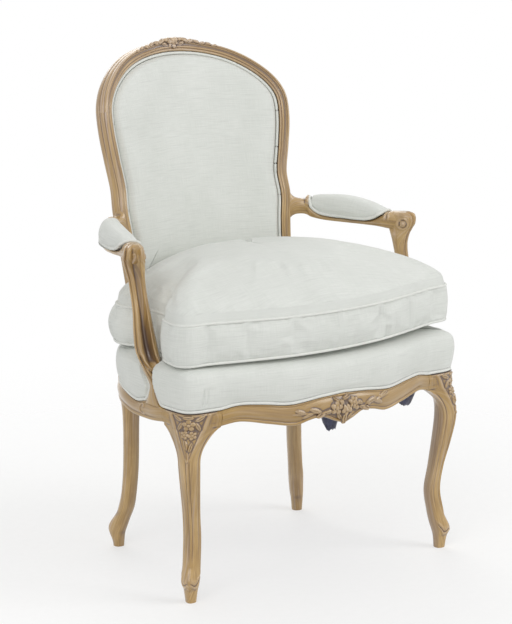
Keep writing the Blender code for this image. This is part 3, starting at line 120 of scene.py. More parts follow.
# Upholstery, as built
WELT = 0.003
CLEAR = 0.0006
SEAT_COVER = 0.0026
PAD_COVER = 0.0028
PADDED_INSET = 0.012
SEAT_CROWN = RAIL_TOP + 0.062
SEAT_SWELL = 0.004
SEAT_ROLL = 0.014
CUSHION_BOX = 0.067
CUSHION_CROWN = 0.086
CUSHION_PEAK_Y = 0.020
CUSHION_WELT = 0.0025
CUSHION_NOTCH = 0.009
CUSHION_EAR = 0.036
DUST_RIM = RAIL_TOP - 0.016 - 0.026 - 0.0015
DUST_THICK = 0.0012
DUST_SAG = 0.010
DUST_BAGS = (((0.012, -0.212), 0.028, 0.038), ((0.213, -0.180), 0.040, 0.031))

# Camera of the photograph, in the chair's own frame: an eye and a target, and a shifted lens
EYE = Vector((-2.5504, -3.6178, 1.3860))
TARGET = Vector((0, 0, 0.45))
LENS = 139.0
LENS_SHIFT = (-0.0038, 0.0087)

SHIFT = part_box("front_rail")[0].y - (SEAT_FRONT - CARVING_PROUD)
SIDES = (("left", -1), ("right", 1))
MM = 0.001

# Forms by their share of the height: sweep outwards, half depth and half width of the front leg
LEG_FORM = (
    (0.000, (0.000, 0.0106, 0.0098)), (0.066, (0.001, 0.0136, 0.0130)), (0.104, (0.002, 0.0180, 0.0162)),
    (0.138, (-0.001, 0.0190, 0.0168)), (0.195, (-0.008, 0.0168, 0.0166)), (0.325, (-0.016, 0.0154, 0.0163)),
    (0.460, (-0.010, 0.0148, 0.0162)), (0.609, (0.000, 0.0182, 0.0182)), (0.741, (0.007, 0.0206, 0.0200)),
    (1.000, (0.011, 0.0210, 0.0205)),
)
# Sweep outwards and rearwards, and half width, of the rear leg
REAR_LEG_FORM = (
    (0.000, (0.0185, 0.0165, 0.0088)), (0.070, (0.0180, 0.0165, 0.0106)), (0.105, (0.0158, 0.0148, 0.0118)),
    (0.150, (0.0122, 0.0110, 0.0124)), (0.212, (0.0070, 0.0050, 0.0130)), (0.285, (0.0030, 0.0020, 0.0125)),
    (0.430, (-0.0010, 0.0005, 0.0128)), (0.700, (-0.0020, 0, 0.0138)), (0.850, (0, 0, POST_HALF)),
    (1.000, (0, 0, POST_HALF)),
)
# Sweep rearwards, half width, half depth and share of the turn of the arm support
CONSOLE_FORM = (
    (0.000, (0.0000, 0.0130, 0.0250, 0)), (0.065, (0.0010, 0.0125, 0.0125, 0)),
    (0.143, (0.0025, 0.0110, 0.0068, 0)), (0.245, (0.0145, 0.0170, 0.0120, 0.5)),
    (0.369, (0.0300, 0.0205, 0.0145, 1)), (0.492, (0.0395, 0.0190, 0.0145, 1)),
    (0.636, (0.0470, 0.0160, 0.0120, 1)), (0.780, (0.0570, 0.0148, 0.0105, 1)),
    (0.880, (0.0625, 0.0156, 0.0120, 1)), (0.950, (0.0638, 0.0184, 0.0158, 1)),
    (1.000, (0.0640, 0.0200, 0.0215, 1)), (1.030, (0.0640, 0.0205, 0.0255, 1)),
    (1.060, (0.0640, 0.0194, 0.0270, 1)), (1.090, (0.0640, 0.0184, 0.0268, 1)),
    (1.112, (0.0640, 0.0168, 0.0236, 1)), (1.128, (0.0640, 0.0110, 0.0150, 1)),
)
# Half width, underside and top of the arm by its share of the length
ARM_FORM = (
    (0.000, (0.0128, 0.0030, 0.0540)), (0.020, (0.0122, 0.0085, 0.0470)), (0.050, (0.0118, 0.0115, 0.0430)),
    (0.100, (0.0125, 0.0120, 0.0420)), (0.130, (0.0135, 0.0100, 0.0470)),
    (0.155, (0.0150, 0.0070, ARM_BED + 0.019)), (0.215, (0.0165, 0.0040, ARM_BED + 0.006)),
    (0.300, (0.0175, 0.0020, ARM_BED + 0.001)), (0.450, (0.0180, 0.0015, ARM_BED)),
    (0.640, (0.0175, 0.0025, ARM_BED + 0.001)),
    (0.720, (0.0172, 0.0030, ARM_BED + 0.006)), (0.790, (0.0170, 0.0020, ARM_BED + 0.016)),
    (0.825, (0.0165, 0.0010, 0.0320)), (0.870, (0.0162, 0.0000, 0.0335)), (0.930, (0.0150, -0.0010, 0.0325)),
    (0.975, (0.0120, 0.0000, 0.0280)), (1.000, (0.0060, 0.0070, 0.0200)),
)
ARM_PLAN = (
    (0, 0), (0.23, 0.077), (0.45, 0.21), (0.63, 0.38), (0.735, 0.55), (0.79, 0.70), (0.86, 0.83), (1, 1),
)
# Inner line of the back: shares of its half width and of its rise
BACK_LINE = (
    (0.861, 0), (0.882, 0.127), (0.9055, 0.243), (0.932, 0.347), (0.921, 0.451), (0.963, 0.572),
    (1, 0.706), (0.982, 0.799), (0.856, 0.877), (0.619, 0.947), (0.336, 0.986), (0, 1),
)
# Upper and lower edges of the rails, off the ledge, by shares of the half width or of the side
FRONT_CREST = ((0, 0.010), (0.16, 0.0065), (0.355, 0), (0.516, 0.005), (0.645, 0.007), (0.755, 0))
FRONT_DROP = (
    (0, 0.046), (0.065, 0.039), (0.145, 0.029), (0.226, 0.031), (0.33, 0.038), (0.484, 0.0305),
    (0.645, 0.022), (0.755, 0.0275),
)
SIDE_CREST = ((0, 0), (0.05, 0.002), (0.21, 0.002), (0.33, -0.005), (0.56, 0.004), (0.8, 0.006), (1, 0))
SIDE_DROP = ((0, 0.0245), (0.15, 0.029), (0.37, 0.030), (0.55, 0.025), (0.8, 0.022), (1, 0.029))

# Mouldings, in millimetres. Back frame: share of its face from the welt outwards, then height off the face
FRAME_MOULDING = (
    (0.00, -1.5), (0.03, 0.1), (0.10, 1.1), (0.17, 0.8), (0.22, -0.7), (0.26, -0.8), (0.30, 0.6),
    (0.35, 1.2), (0.40, 0.5), (0.48, -1.2), (0.57, -1.7), (0.66, -1.1), (0.72, 0.3), (0.75, 0.5),
    (0.78, -0.7), (0.81, -0.7), (0.86, 0.8), (0.91, 1.1), (0.97, 0.2), (1.00, -1.6),
)
# Side and back of the frame: shares of its face outwards and of its depth
FRAME_SIDE = (
    (1.02, -0.10), (1.03, -0.16), (1.03, -0.20), (1.03, -0.24), (1.035, -0.28), (1.045, -0.34),
    (1.055, -0.42), (1.06, -0.48), (1.065, -0.53), (1.065, -0.58), (1.065, -0.63), (1.06, -0.69),
    (1.04, -0.77), (1.00, -0.85), (0.91, -0.95), (0.78, -1), (0.45, -1), (0.1, -1),
)
FRAME_STEP = -FRAME_REBATE / FRAME_DEPTH
FRAME_HIDDEN = ((-1, -1), (-1, -0.6), (-1, FRAME_STEP), (-0.5, FRAME_STEP), (0, FRAME_STEP))
# Two grooves in its side: place and width by its depth, and depth by its face
SIDE_GROOVES = ((-0.24, 0.035, 0.075), (-0.58, 0.045, 0.10))
SIDE_GROOVE_FADE = (0.69, 0.79)
# Seat rails: bead along the lower edge by height, then the face by its share; setback from the face
RAIL_BEAD = ((0, 3.2), (0.4, 1.4), (1.6, 0.1), (3.2, 0), (4.8, 0.7))
RAIL_ROUND = 1.6
RAIL_BEAD_TOP = 6.2 * MM
RAIL_FACE = (
    (0, 1.9), (0.06, 0.9), (0.22, -1.2), (0.45, -2.2), (0.66, -1.5), (0.80, 0.2), (0.87, 1.6), (0.90, 2.4),
    (0.93, 1.7), (0.97, 1.5), (1, 2.4),
)
KNEE_FADE = 0.035


# Curves and grids


def smooth(table, t):
    """Values at t of a smooth curve through (t, value) stations, held level past its ends."""
    ts = np.array([row[0] for row in table], float)
    vs = np.array([np.atleast_1d(row[1]) for row in table], float)
    index = np.arange(len(ts))
    low, high = np.maximum(index - 1, 0), np.minimum(index + 1, len(ts) - 1)
    slopes = (vs[high] - vs[low]) / (ts[high] - ts[low])[:, None]
    t = np.clip(np.asarray(t, float), ts[0], ts[-1])
    i = np.clip(np.searchsorted(ts, t, "right") - 1, 0, len(ts) - 2)
    span = ts[i + 1] - ts[i]
    u = ((t - ts[i]) / span)[..., None]
    span = span[..., None]
    ends = vs[i] * (2 * u**3 - 3 * u**2 + 1) + vs[i + 1] * (3 * u**2 - 2 * u**3)
    made = ends + slopes[i] * span * (u**3 - 2 * u**2 + u) + slopes[i + 1] * span * (u**3 - u**2)
    return made[..., 0] if vs.shape[1] == 1 else made


def xyz(x, y, z):
    """Points from their coordinates, any of which may be shared."""
    return np.stack(np.broadcast_arrays(x, y, z), -1)


def unit(vectors):
    return vectors / np.linalg.norm(vectors, axis=-1, keepdims=True)


def lengths(points):
    """Length along a line of points up to each of them."""
    steps = np.linalg.norm(np.diff(points, axis=0), axis=1)
    return np.concatenate([[0], np.cumsum(steps)])


def along(points, count):
    """Points spaced evenly along straight lines between the given ones."""
    run = lengths(points)
    even = np.linspace(0, run[-1], count)
    return np.stack([np.interp(even, run, points[:, k]) for k in range(points.shape[1])], -1)


def curve_through(points, count, closed=False):
    """Points spaced evenly along a smooth curve through the given ones."""
    points = np.array(points, float)
    if closed:
        points = np.concatenate([points[-2:], points, points[:3]])
    run = lengths(points)
    first, last = (run[2], run[-3]) if closed else (run[0], run[-1])
    dense = smooth(list(zip(run, points)), np.linspace(first, last, count * 8 + 1))
    made = along(dense, count + 1 if closed else count)
    return made[:-1] if closed else made


def mirrored(half):
    """A closed outline from its right half, which starts and ends on the centre line."""
    half = np.array(half, float)
    return np.concatenate([half, half[-2:0:-1] * (-1, 1, 1)])


def inset(outline, distance):
    """A closed plan outline moved inwards."""
    step = unit(np.roll(outline, -1, 0) - np.roll(outline, 1, 0))
    return outline + xyz(-step[:, 1], step[:, 0], 0) * distance


def eased(outline):
    """A closed outline with its corners taken off, close to an ellipse."""
    waves = np.fft.fft(outline[:, 0] + 1j * (outline[:, 1] + outline[:, 2]))
    waves[3:-2] = 0
    made = np.fft.ifft(waves)
    soft = np.zeros_like(outline)
    soft[:, 0] = made.real
    soft[:, 1 if np.ptp(outline[:, 1]) > np.ptp(outline[:, 2]) else 2] = made.imag
    return soft


def panel_ring(outline, soft, middle, share):
    """A ring of a panel: its outline at the edge, easing into a rounder one towards its middle."""
    ease = step_up((1 - share) / 0.32)
    return middle + (outline + (soft - outline) * ease - middle) * share


def at_height(outline, z):
    made = outline.copy()
    made[:, 2] = z
    return made


def divided(points, parts):
    """A closed section with its sides divided and its corners slightly eased."""
    ring = np.concatenate([points, points[:1]])
    count = len(points)
    t = np.linspace(0, count, count * parts, endpoint=False)
    made = np.stack([np.interp(t, np.arange(count + 1), ring[:, k]) for k in range(ring.shape[1])], -1)
    for _ in range(2):
        made = (np.roll(made, 1, 0) + 2 * made + np.roll(made, -1, 0)) / 4
    return made


def fine(grid, parts=4):
    return np.stack([divided(ring, parts) for ring in grid])


def sections(points, like):
    """Rings of a section from its points, whose two coordinates are shared or one for each ring."""
    return np.stack([np.stack([a + 0 * like, b + 0 * like], -1) for a, b in points], 1)


def step_up(t):
    """A smooth step from 0 to 1."""
    t = np.clip(t, 0, 1)
    return t * t * (3 - 2 * t)


def bump(x, half):
    """A smooth rise to 1 at the middle of a stretch."""
    return np.cos(np.pi / 2 * np.minimum(np.abs(x) / half, 1)) ** 2


def ridge(x, width):
    """A narrow rounded rise to 1 at x = 0."""
    return np.exp(-((x / width) ** 2))


def normals(grid):
    """Outward unit normals of a grid of closed rings."""
    across = np.roll(grid, -1, 1) - np.roll(grid, 1, 1)
    made = np.cross(np.gradient(grid, axis=0), across)
    made /= np.maximum(np.linalg.norm(made, axis=2), 1e-12)[..., None]
    outward = grid - grid.mean(axis=1, keepdims=True)
    return made * np.sign((made * outward).sum())


def raised(grid, height):
    """A grid moved out along its normals."""
    return grid + normals(grid) * height[..., None]


def around(grid, start=0):
    """Length round each ring from the point with the given index, negative before it."""
    rolled = np.roll(grid, -start, 1)
    steps = np.linalg.norm(np.diff(np.concatenate([rolled, rolled[:, :1]], 1), axis=1), axis=2)
    run = np.concatenate([np.zeros((len(grid), 1)), np.cumsum(steps, 1)], 1)
    total, run = run[:, -1:], run[:, :-1]
    return np.roll(np.where(run > total / 2, run - total, run), start, 1)


def lengthwise(grid):
    """Length along a grid from its first ring, by the rings' middles."""
    return np.repeat(lengths(grid.mean(axis=1))[:, None], grid.shape[1], 1)


def hollows(grid, passes=6):
    """How far each point stands out of its surroundings, in millimetres: hollows are negative."""
    soft = grid
    for _ in range(passes):
        soft = (np.roll(soft, 1, 1) + 2 * soft + np.roll(soft, -1, 1)) / 4
        inner = (soft[:-2] + 2 * soft[1:-1] + soft[2:]) / 4
        soft = np.concatenate([soft[:1], inner, soft[-1:]])
    return ((grid - soft) * normals(grid)).sum(axis=2) / MM


# Carved ornament, as heights over two surface coordinates


def turned(u, v, at, angle):
    c, s = math.cos(math.radians(angle)), math.sin(math.radians(angle))
    return (u - at[0]) * c + (v - at[1]) * s, (v - at[1]) * c - (u - at[0]) * s


def leaf(u, v, at, size, angle, height):
    """A pointed leaf with a vein: its middle, length and width, and the way it points."""
    a, b = turned(u, v, at, angle)
    a, b = a / (size[0] / 2), b / (size[1] / 2)
    half = np.clip(1 - a * a, 0, None) ** 0.8
    side = np.abs(b) / np.maximum(half, 1e-4)
    body = np.clip(1 - side**3, 0, None) * np.clip(half * 1.6, 0, 1)
    return height * body * (1 - 0.55 * ridge(b, 0.16))


def bud(u, v, at, radius, height):
    r = np.hypot(u - at[0], v - at[1]) / radius
    return height * np.sqrt(np.clip(1 - r * r, 0, None))


def flower(u, v, at, radius, height, petals, turn=0):
    """A ring of cupped petals round a seeded centre."""
    made = bud(u, v, at, 0.34 * radius, height)
    for k in range(petals):
        angle = turn + 360 * k / petals
        c, s = math.cos(math.radians(angle)), math.sin(math.radians(angle))
        middle = (at[0] + 0.62 * radius * c, at[1] + 0.62 * radius * s)
        a, b = turned(u, v, middle, angle)
        r = np.hypot(a / (0.44 * radius), b / (2.1 * radius / petals))
        cup = np.clip(1 - r**4, 0, None) * (0.72 + 0.28 * np.clip(r, 0, 1) ** 2)
        made = np.maximum(made, height * cup * (1 - 0.18 * (k % 2)))
    return made


def carving(u, v, motifs):
    """Height of the tallest of some motifs, each a shape and its sizes in millimetres."""
    return MM * np.maximum.reduce([shape(u / MM, v / MM, *sizes) for shape, *sizes in motifs])


# Lines of the chair


def front_face(x):
    return smooth([(s * SEAT_HALF, SEAT_FRONT + bow * SEAT_BOW) for s, bow in FRONT_PLAN], np.abs(x))


def side_face(y):
    return smooth([(SEAT_FRONT + share * SEAT_DEPTH, x) for x, share in SIDE_PLAN], y)


def side_share(y):
    return (y - KNEE_Y) / (POST_FACE - KNEE_Y)


def front_crest(x):
    return LEDGE + smooth(FRONT_CREST, np.abs(x) / SEAT_HALF)


def side_crest(y):
    return LEDGE + smooth(SIDE_CREST, side_share(y))


def crest_at(points):
    """Height of the moulding under points of the seat's outline."""
    front = (np.abs(points[:, 0]) < KNEE_X) & (points[:, 1] < 0)
    side = (points[:, 1] > KNEE_Y) & (points[:, 1] < POST_FACE)
    made = np.where(side, side_crest(points[:, 1]), LEDGE)
    return np.where(front, front_crest(points[:, 0]), made)


def plan(count):
    """The seat's outline, closed."""
    front = [(share * SEAT_HALF, SEAT_FRONT + bow * SEAT_BOW, 0) for share, bow in FRONT_PLAN]
    side = [(x, SEAT_FRONT + share * SEAT_DEPTH, 0) for x, share in SIDE_PLAN]
    rear = [(share * REAR_HALF, SEAT_REAR, 0) for share in REAR_PLAN]
    return curve_through(mirrored(front + side + rear), count, closed=True)


def on_back(x, z, proud):
    """Points off the front surface of the back."""
    x, z, proud = np.broadcast_arrays(np.asarray(x, float), z, proud)
    normal = unit(xyz(-2 * BACK_CURVE * x, -1.0, BACK_LEAN))
    y = BACK_DATUM_Y + BACK_LEAN * (z - ARM_UNDER) - BACK_CURVE * x * x
    return xyz(x, y, z) + normal * proud[..., None]


def back_line(count):
    """Inner line of the back frame, from the right stile's foot over the crest to the left one's."""
    right = [(x * BACK_HALF, 0, BACK_FOOT + z * BACK_RISE) for x, z in BACK_LINE]
    left = [(-x, y, z) for x, y, z in right[-2::-1]]
    return curve_through(right + left, count)


def frame_axes(line):
    """Points of the back's inner line on its surface, with the ways out and to the sitter."""
    origin = on_back(line[:, 0], line[:, 2], 0)
    front = on_back(line[:, 0], line[:, 2], 1) - origin
    run = unit(np.gradient(origin, axis=0))
    return origin, unit(np.cross(run, front)), front


def frame_face(line):
    """Width of the back frame's face, which swells at the shoulders and under the crest's flower."""
    rise = (line[:, 2] - BACK_FOOT) / BACK_RISE
    width = WAIST_FACE + (SHOULDER_FACE - WAIST_FACE) * np.clip((rise - 0.35) / 0.3, 0, 1)
    return width + np.where(rise > 0.9, CREST_CARVING * bump(line[:, 0], CREST_CARVING_HALF), 0)


def arm_path():
    """Plan stations of the right arm's centre, from the stile to the scroll."""
    line = back_line(400)[:200]
    _, low, high = ARM_FORM[0][1]
    k = np.abs(line[:, 2] - ARM_UNDER - (low + high) / 2).argmin()
    origin, out, front = (axis[k] for axis in frame_axes(line))
    start = origin + out * frame_face(line)[k] - front * FRAME_DEPTH / 2
    end = np.array([CONSOLE_X + ARM_FLARE, CONSOLE_Y + CONSOLE_SWEEP - ARM_OVERHANG, 0])
    points = np.array([start + (end - start) * (u, v, 0) for u, v in ARM_PLAN])
    points[:, 2] = 0
    return list(zip(lengths(points) / lengths(points)[-1], points))


def arm_axes(path, shares):
    """Points on the arm's plan and the direction across it, outwards."""
    step = smooth(path, np.minimum(shares + 0.01, 1)) - smooth(path, np.maximum(shares - 0.01, 0))
    return smooth(path, shares), unit(xyz(step[:, 1], -step[:, 0], 0))


# Materials


class Nodes:
    """Short calls that add shader nodes to a material or to the world."""

    def __init__(self, owner):
        owner.use_nodes = True
        self.owner = owner
        self.tree = owner.node_tree

    def add(self, kind, inputs=None, **settings):
        node = self.tree.nodes.new("ShaderNode" + kind)
        for key, value in settings.items():
            setattr(node, key, value)
        for key, value in (inputs or {}).items():
            self.put(node.inputs[key], value)
        return node

    def put(self, socket, value):
        if isinstance(value, bpy.types.NodeSocket):
            self.tree.links.new(value, socket)
        else:
            socket.default_value = value

    def maths(self, operation, a, b):
        return self.add("Math", {0: a, 1: b}, operation=operation).outputs[0]

    def weighted(self, *terms, start=0.0):
        """Sum of values times their weights, on top of a start."""
        total = start
        for value, weight in terms:
            total = self.add("Math", {0: value, 1: weight, 2: total}, operation="MULTIPLY_ADD").outputs[0]
        return total

    def vector(self, operation, a, b=(0, 0, 0), output=0):
        return self.add("VectorMath", {0: a, 1: b}, operation=operation).outputs[output]

    def ranged(self, value, low, high, to_low=0.0, to_high=1.0):
        inputs = {"Value": value, "From Min": low, "From Max": high, "To Min": to_low, "To Max": to_high}
        return self.add("MapRange", inputs).outputs[0]

    def place(self):
        return self.add("TexCoord").outputs["Object"]

    def attribute(self, name, output):
        return self.add("Attribute", attribute_name=name).outputs[output]

    def scaled(self, vector, scale):
        return self.add("Mapping", {"Vector": vector, "Scale": scale}).outputs[0]

    def noise(self, vector, scale, detail=3.0, rough=0.5):
        inputs = {"Vector": self.scaled(vector, scale), "Scale": 1.0, "Detail": detail, "Roughness": rough}
        return self.add("TexNoise", inputs).outputs["Fac"]

    def ramp(self, factor, stops):
        node = self.add("ValToRGB", {"Fac": factor})
        while len(node.color_ramp.elements) < len(stops):
            node.color_ramp.elements.new(0.5)
        for element, (at, colour) in zip(node.color_ramp.elements, stops):
            element.position = at
            element.color = (*colour, 1)
        return node.outputs["Color"]

    def tinted(self, colour, factor, share, tint):
        """A colour mixed with a tint by a share of a factor."""
        inputs = {"Factor": self.maths("MULTIPLY", factor, share), "A": colour, "B": (*tint, 1)}
        return self.add("Mix", inputs, data_type="RGBA").outputs["Result"]

    def bumped(self, height, distance, strength):
        inputs = {"Height": height, "Distance": distance, "Strength": strength}
        return self.add("Bump", inputs).outputs[0]

    def finish(self, **sockets):
        for key, value in sockets.items():
            self.put(self.tree.nodes["Principled BSDF"].inputs[key.replace("_", " ")], value)
        return self.owner


def material(name):
    return Nodes(bpy.data.materials.new(name))


def shaded_inner_faces(n):
    """Painted shade: 1 on faces of the legs that look towards the chair's middle, which are painted darker
    as if in shade, 0 on outer ones; and the height.
    """
    surface = n.add("NewGeometry").outputs
    place = n.add("SeparateXYZ", {0: surface["Position"]}).outputs
    away = n.vector("NORMALIZE", n.vector("MULTIPLY", surface["Position"], (1, 1, 0)))
    inner = n.ranged(n.vector("DOT_PRODUCT", away, surface["Normal"], "Value"), 0.0, -0.75)
    ahead = n.ranged(place["Y"], 0.10, -0.05, 0.3)
    low = n.ranged(place["Z"], RAIL_TOP, LEDGE - 0.02)
    return n.maths("MULTIPLY", n.maths("MULTIPLY", inner, ahead), low), place["Z"]


def carved_wood():
    """Stained beech with a waxy sheen; patina and painted shade in the hollows, ridges paled by wear and a
    painted highlight, a painted highlight towards the top of the back frame, and painted shade on the legs'
    inner faces.
    """
    n = material("carved_wood")
    surface = n.attribute("weave", "Vector")
    relief = n.attribute("relief", "Fac")
    inner, height = shaded_inner_faces(n)
    grain = n.noise(surface, (14, 420, 1), 5.0, 0.62)
    cloudy = n.noise(surface, (9, 28, 1), 4.0)
    flecks = n.noise(surface, (60, 1600, 1), 2.0)
    streaks = n.ranged(n.noise(surface, (4, 150, 1)), 0.55, 0.70)
    pale = n.ranged(n.noise(surface, (5, 190, 1)), 0.54, 0.70)
    band = n.ramp(height, ((0.26, (0, 0, 0)), (0.31, (1, 1, 1)), (0.35, (1, 1, 1)), (0.40, (0, 0, 0))))
    # Painted highlight: the wood grows paler towards the top of the back frame, as if lit from above
    crest = n.maths("MULTIPLY", n.ranged(height, 0.60, 0.95), n.weighted((pale, 0.6), start=0.16))
    # Darker in the hollows: patina, and painted shade where the hollows would lie in shade
    patina_and_shade = n.maths("MULTIPLY", n.ranged(relief, -0.03, -0.34), n.weighted((cloudy, 0.7), start=0.6))
    stops = ((0.32, (0.200, 0.108, 0.030)), (0.5, (0.405, 0.250, 0.080)), (0.68, (0.600, 0.410, 0.170)))
    colour = n.ramp(n.weighted((grain, 0.5), (cloudy, 0.5)), stops)
    for factor, share, tint in (
        (streaks, 0.60, (0.21, 0.120, 0.055)),
        (pale, 0.48, (0.59, 0.460, 0.385)),
        # painted shade on the legs' faces towards the chair's middle
        (inner, 0.42, (0.180, 0.116, 0.106)),
        (band, 0.50, (0.300, 0.172, 0.028)),
        # painted highlight towards the top of the back frame
        (crest, 1.0, (0.66, 0.55, 0.49)),
        # patina and painted shade in the hollows
        (n.maths("MINIMUM", patina_and_shade, 0.86), 1.0, (0.095, 0.058, 0.050)),
        # pale ridges: wear, and a painted highlight on what stands proud
        (n.ranged(relief, 0.06, 0.60), 0.32, (0.62, 0.49, 0.38)),
        (n.ranged(flecks, 0.62, 0.75), 0.30, (0.19, 0.105, 0.05)),
    ):
        colour = n.tinted(colour, factor, share, tint)
    pores = n.bumped(n.weighted((flecks, 0.4), start=grain), 0.00035, 0.5)
    rough = n.ranged(cloudy, 0.0, 1.0, 0.28, 0.44)
    return n.finish(Base_Color=colour, Roughness=rough, Coat_Weight=0.8, Coat_Roughness=0.16, Normal=pores)


def woven(name, light, dark, turn=0.0, slub=1.0):
    """Plain-woven linen with slubs along its weft, on sewing coordinates in metres."""
    n = material(name)
    sewn = n.add("Mapping", {"Vector": n.attribute("weave", "Vector"), "Rotation": (0, 0, turn)}).outputs[0]
    weft = n.noise(sewn, (26, 1150, 1), 3.0, 0.6)
    warp = n.noise(sewn, (1150, 30, 1), 2.0, 0.6)
    slubs = n.ranged(n.noise(sewn, (16, 420, 1), 2.0), 0.56, 0.74)
    cloudy = n.noise(sewn, (12, 9, 1))
    colour = n.ramp(n.weighted((weft, 0.5), (warp, 0.28), (cloudy, 0.22)), ((0.36, dark), (0.62, light)))
    colour = n.tinted(colour, slubs, 0.55 * slub, [c * 0.80 for c in light])
    threads = [
        n.add("TexWave", {"Vector": n.scaled(sewn, scale), "Scale": 1.0}, bands_direction=way).outputs["Fac"]
        for scale, way in (((620, 1, 1), "X"), ((1, 620, 1), "Y"))
    ]
    height = n.weighted((n.maths("MULTIPLY", *threads), 0.5), (weft, 0.6), (slubs, 0.8))
    sheen = {"Sheen_Weight": 0.18, "Sheen_Roughness": 0.45}
    return n.finish(Base_Color=colour, Roughness=0.78, Normal=n.bumped(height, 0.00030, 0.6), **sheen)


def navy_cambric():
    """Dark blue glazed cotton, creased, its colour lighter on the crests of the creases as a painted
    highlight and darker between them as painted shade.
    """
    n = material("navy_cambric")
    place = n.place()
    creases = n.noise(place, (90, 90, 90), 5.0, 0.65)
    threads = n.noise(place, (1800, 1800, 1800), 1.0)
    # Painted highlight and shade: the colour follows the same crease noise as the bump
    colour = n.ramp(creases, ((0.36, (0.012, 0.014, 0.040)), (0.66, (0.050, 0.056, 0.125))))
    crumpled = n.bumped(n.weighted((threads, 0.08), start=creases), 0.002, 0.7)
    return n.finish(Base_Color=colour, Roughness=0.42, Sheen_Weight=0.2, Normal=crumpled)


def fibrous(name, light, dark, scale, rough):
    """Rough natural fibre or plain timber on the piece's own coordinates."""
    n = material(name)
    place = n.place()
    fibre = n.noise(place, scale, 5.0, 0.65)
    tone = n.weighted((fibre, 0.65), (n.noise(place, (14, 14, 14)), 0.35))
    colour = n.ramp(tone, ((0.34, dark), (0.66, light)))
    return n.finish(Base_Color=colour, Roughness=rough, Normal=n.bumped(fibre, 0.0005, 0.7))


def plain_metal(name, colour, rough):
    n = material(name)
    worn = n.noise(n.place(), (420, 420, 420), 4.0)
    toned = n.ramp(worn, ((0.3, [0.7 * c for c in colour]), (0.7, colour)))
    return n.finish(Base_Color=toned, Metallic=1.0, Roughness=rough, Normal=n.bumped(worn, 0.0001, 0.3))


WOOD = carved_wood()
LINEN = woven("celadon_linen", (0.760, 0.775, 0.738), (0.640, 0.662, 0.618))
BIAS = woven("bias_linen", (0.790, 0.800, 0.760), (0.700, 0.715, 0.670), turn=math.pi / 4, slub=0.5)
NAVY = navy_cambric()
PINE = fibrous("block_pine", (0.60, 0.43, 0.24), (0.42, 0.27, 0.13), (20, 20, 400), 0.75)
JUTE = fibrous("jute_fibre", (0.50, 0.38, 0.22), (0.30, 0.21, 0.11), (700, 700, 700), 0.95)
HAIR = fibrous("curled_hair", (0.20, 0.15, 0.11), (0.05, 0.035, 0.025), (500, 500, 500), 0.95)
STEEL = plain_metal("bright_steel", (0.46, 0.45, 0.43), 0.42)
ZINC = plain_metal("zip_zinc", (0.62, 0.60, 0.56), 0.35)


# Meshes


def ring_faces(rows, count, outward):
    """Quads between closed rings, and the two end caps."""
    index = np.arange(rows * count).reshape(rows, count)
    a, b = index[:-1], index[1:]
    quads = np.stack([a, np.roll(a, -1, 1), np.roll(b, -1, 1), b], -1).reshape(-1, 4)
    faces = [*quads.tolist(), index[0, ::-1].tolist(), index[-1].tolist()]
    return faces if outward else [face[::-1] for face in faces]


def facing_out(grid):
    """Whether quads in ring order already face out of a closed grid, by the volume they enclose."""
    rel = grid - grid.reshape(-1, 3).mean(axis=0)
    a, b = rel[:-1], rel[1:]
    a2, b2 = np.roll(a, -1, 1), np.roll(b, -1, 1)
    return (a * np.cross(a2, b2)).sum() + (a * np.cross(b2, b)).sum() > 0


def lofted(name, node, grid, finish, body, side, **attributes):
    """A smooth-shaded piece over closed rings, which stands for a node of the frame and rides on a body."""
    mesh = bpy.data.meshes.new(name)
    points = grid.reshape(-1, 3) * (side, 1, 1) + (0, SHIFT, 0)
    mesh.from_pydata(points.tolist(), [], ring_faces(*grid.shape[:2], facing_out(grid) == (side > 0)))
    mesh.update()
    for key, values in attributes.items():
        kind, field = ("FLOAT_VECTOR", "vector") if values.ndim == 3 else ("FLOAT", "value")
        layer = mesh.attributes.new(key, kind, "POINT")
        layer.data.foreach_set(field, np.ascontiguousarray(values, np.float32).ravel())
    mesh.shade_smooth()
    mesh.materials.append(finish)
    piece = bpy.data.objects.new(name, mesh)
    bpy.context.scene.collection.objects.link(piece)
    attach(piece, body)
    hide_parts(node)
    return piece


def timber(node, grid, side=1, worn=1):
    """A wooden piece, with its grain and its hollows kept as attributes."""
    # The relief drives the wood's patina and painted shade in its hollows and its wear and painted highlight
    # on its ridges; worn scales all of these.
    relief = (hollows(grid) + 0.12 * hollows(grid, 30)) * worn
    weave = xyz(lengthwise(grid), around(grid), 0)
    piece = lofted(f"{node}_carved", node, grid, WOOD, "frame", side, weave=weave, relief=relief)
    piece.data.set_sharp_from_angle(angle=math.radians(70))


def on_both_sides(node, grid, worn=1):
    for name, side in SIDES:
        timber(f"{node}_{name}", grid, side, worn)


def cloth(node, grid, sewn, finish=LINEN, body="frame", side=1):
    """A covered piece, with sewing coordinates for its weave."""
    return lofted(f"{node}_sewn", node, grid, finish, body, side, weave=sewn)


def welt(node, path, radius, closed, body="frame", side=1):
    """A piped welt along a path, cut on the bias."""
    if closed:
        step = unit(np.roll(path, -1, 0) - np.roll(path, 1, 0))
    else:
        step = unit(np.concatenate([np.diff(path, axis=0), path[-1:] - path[-2:-1]]))
    first = np.cross(step, (0, 0, 1.0))
    flat = np.linalg.norm(first, axis=1) < 0.2
    first[flat] = np.cross(step[flat], (1.0, 0, 0))
    first = unit(first)
    second = np.cross(first, step)
    turn = np.linspace(0, 2 * np.pi, 12, endpoint=False)
    spokes = first[:, None] * np.cos(turn)[:, None] + second[:, None] * np.sin(turn)[:, None]
    grid = path[:, None] + spokes * radius
    if closed:
        grid = np.concatenate([grid, grid[:1]])
    cloth(node, grid, xyz(lengthwise(grid), turn * radius, 0), BIAS, body, side)


# Back frame

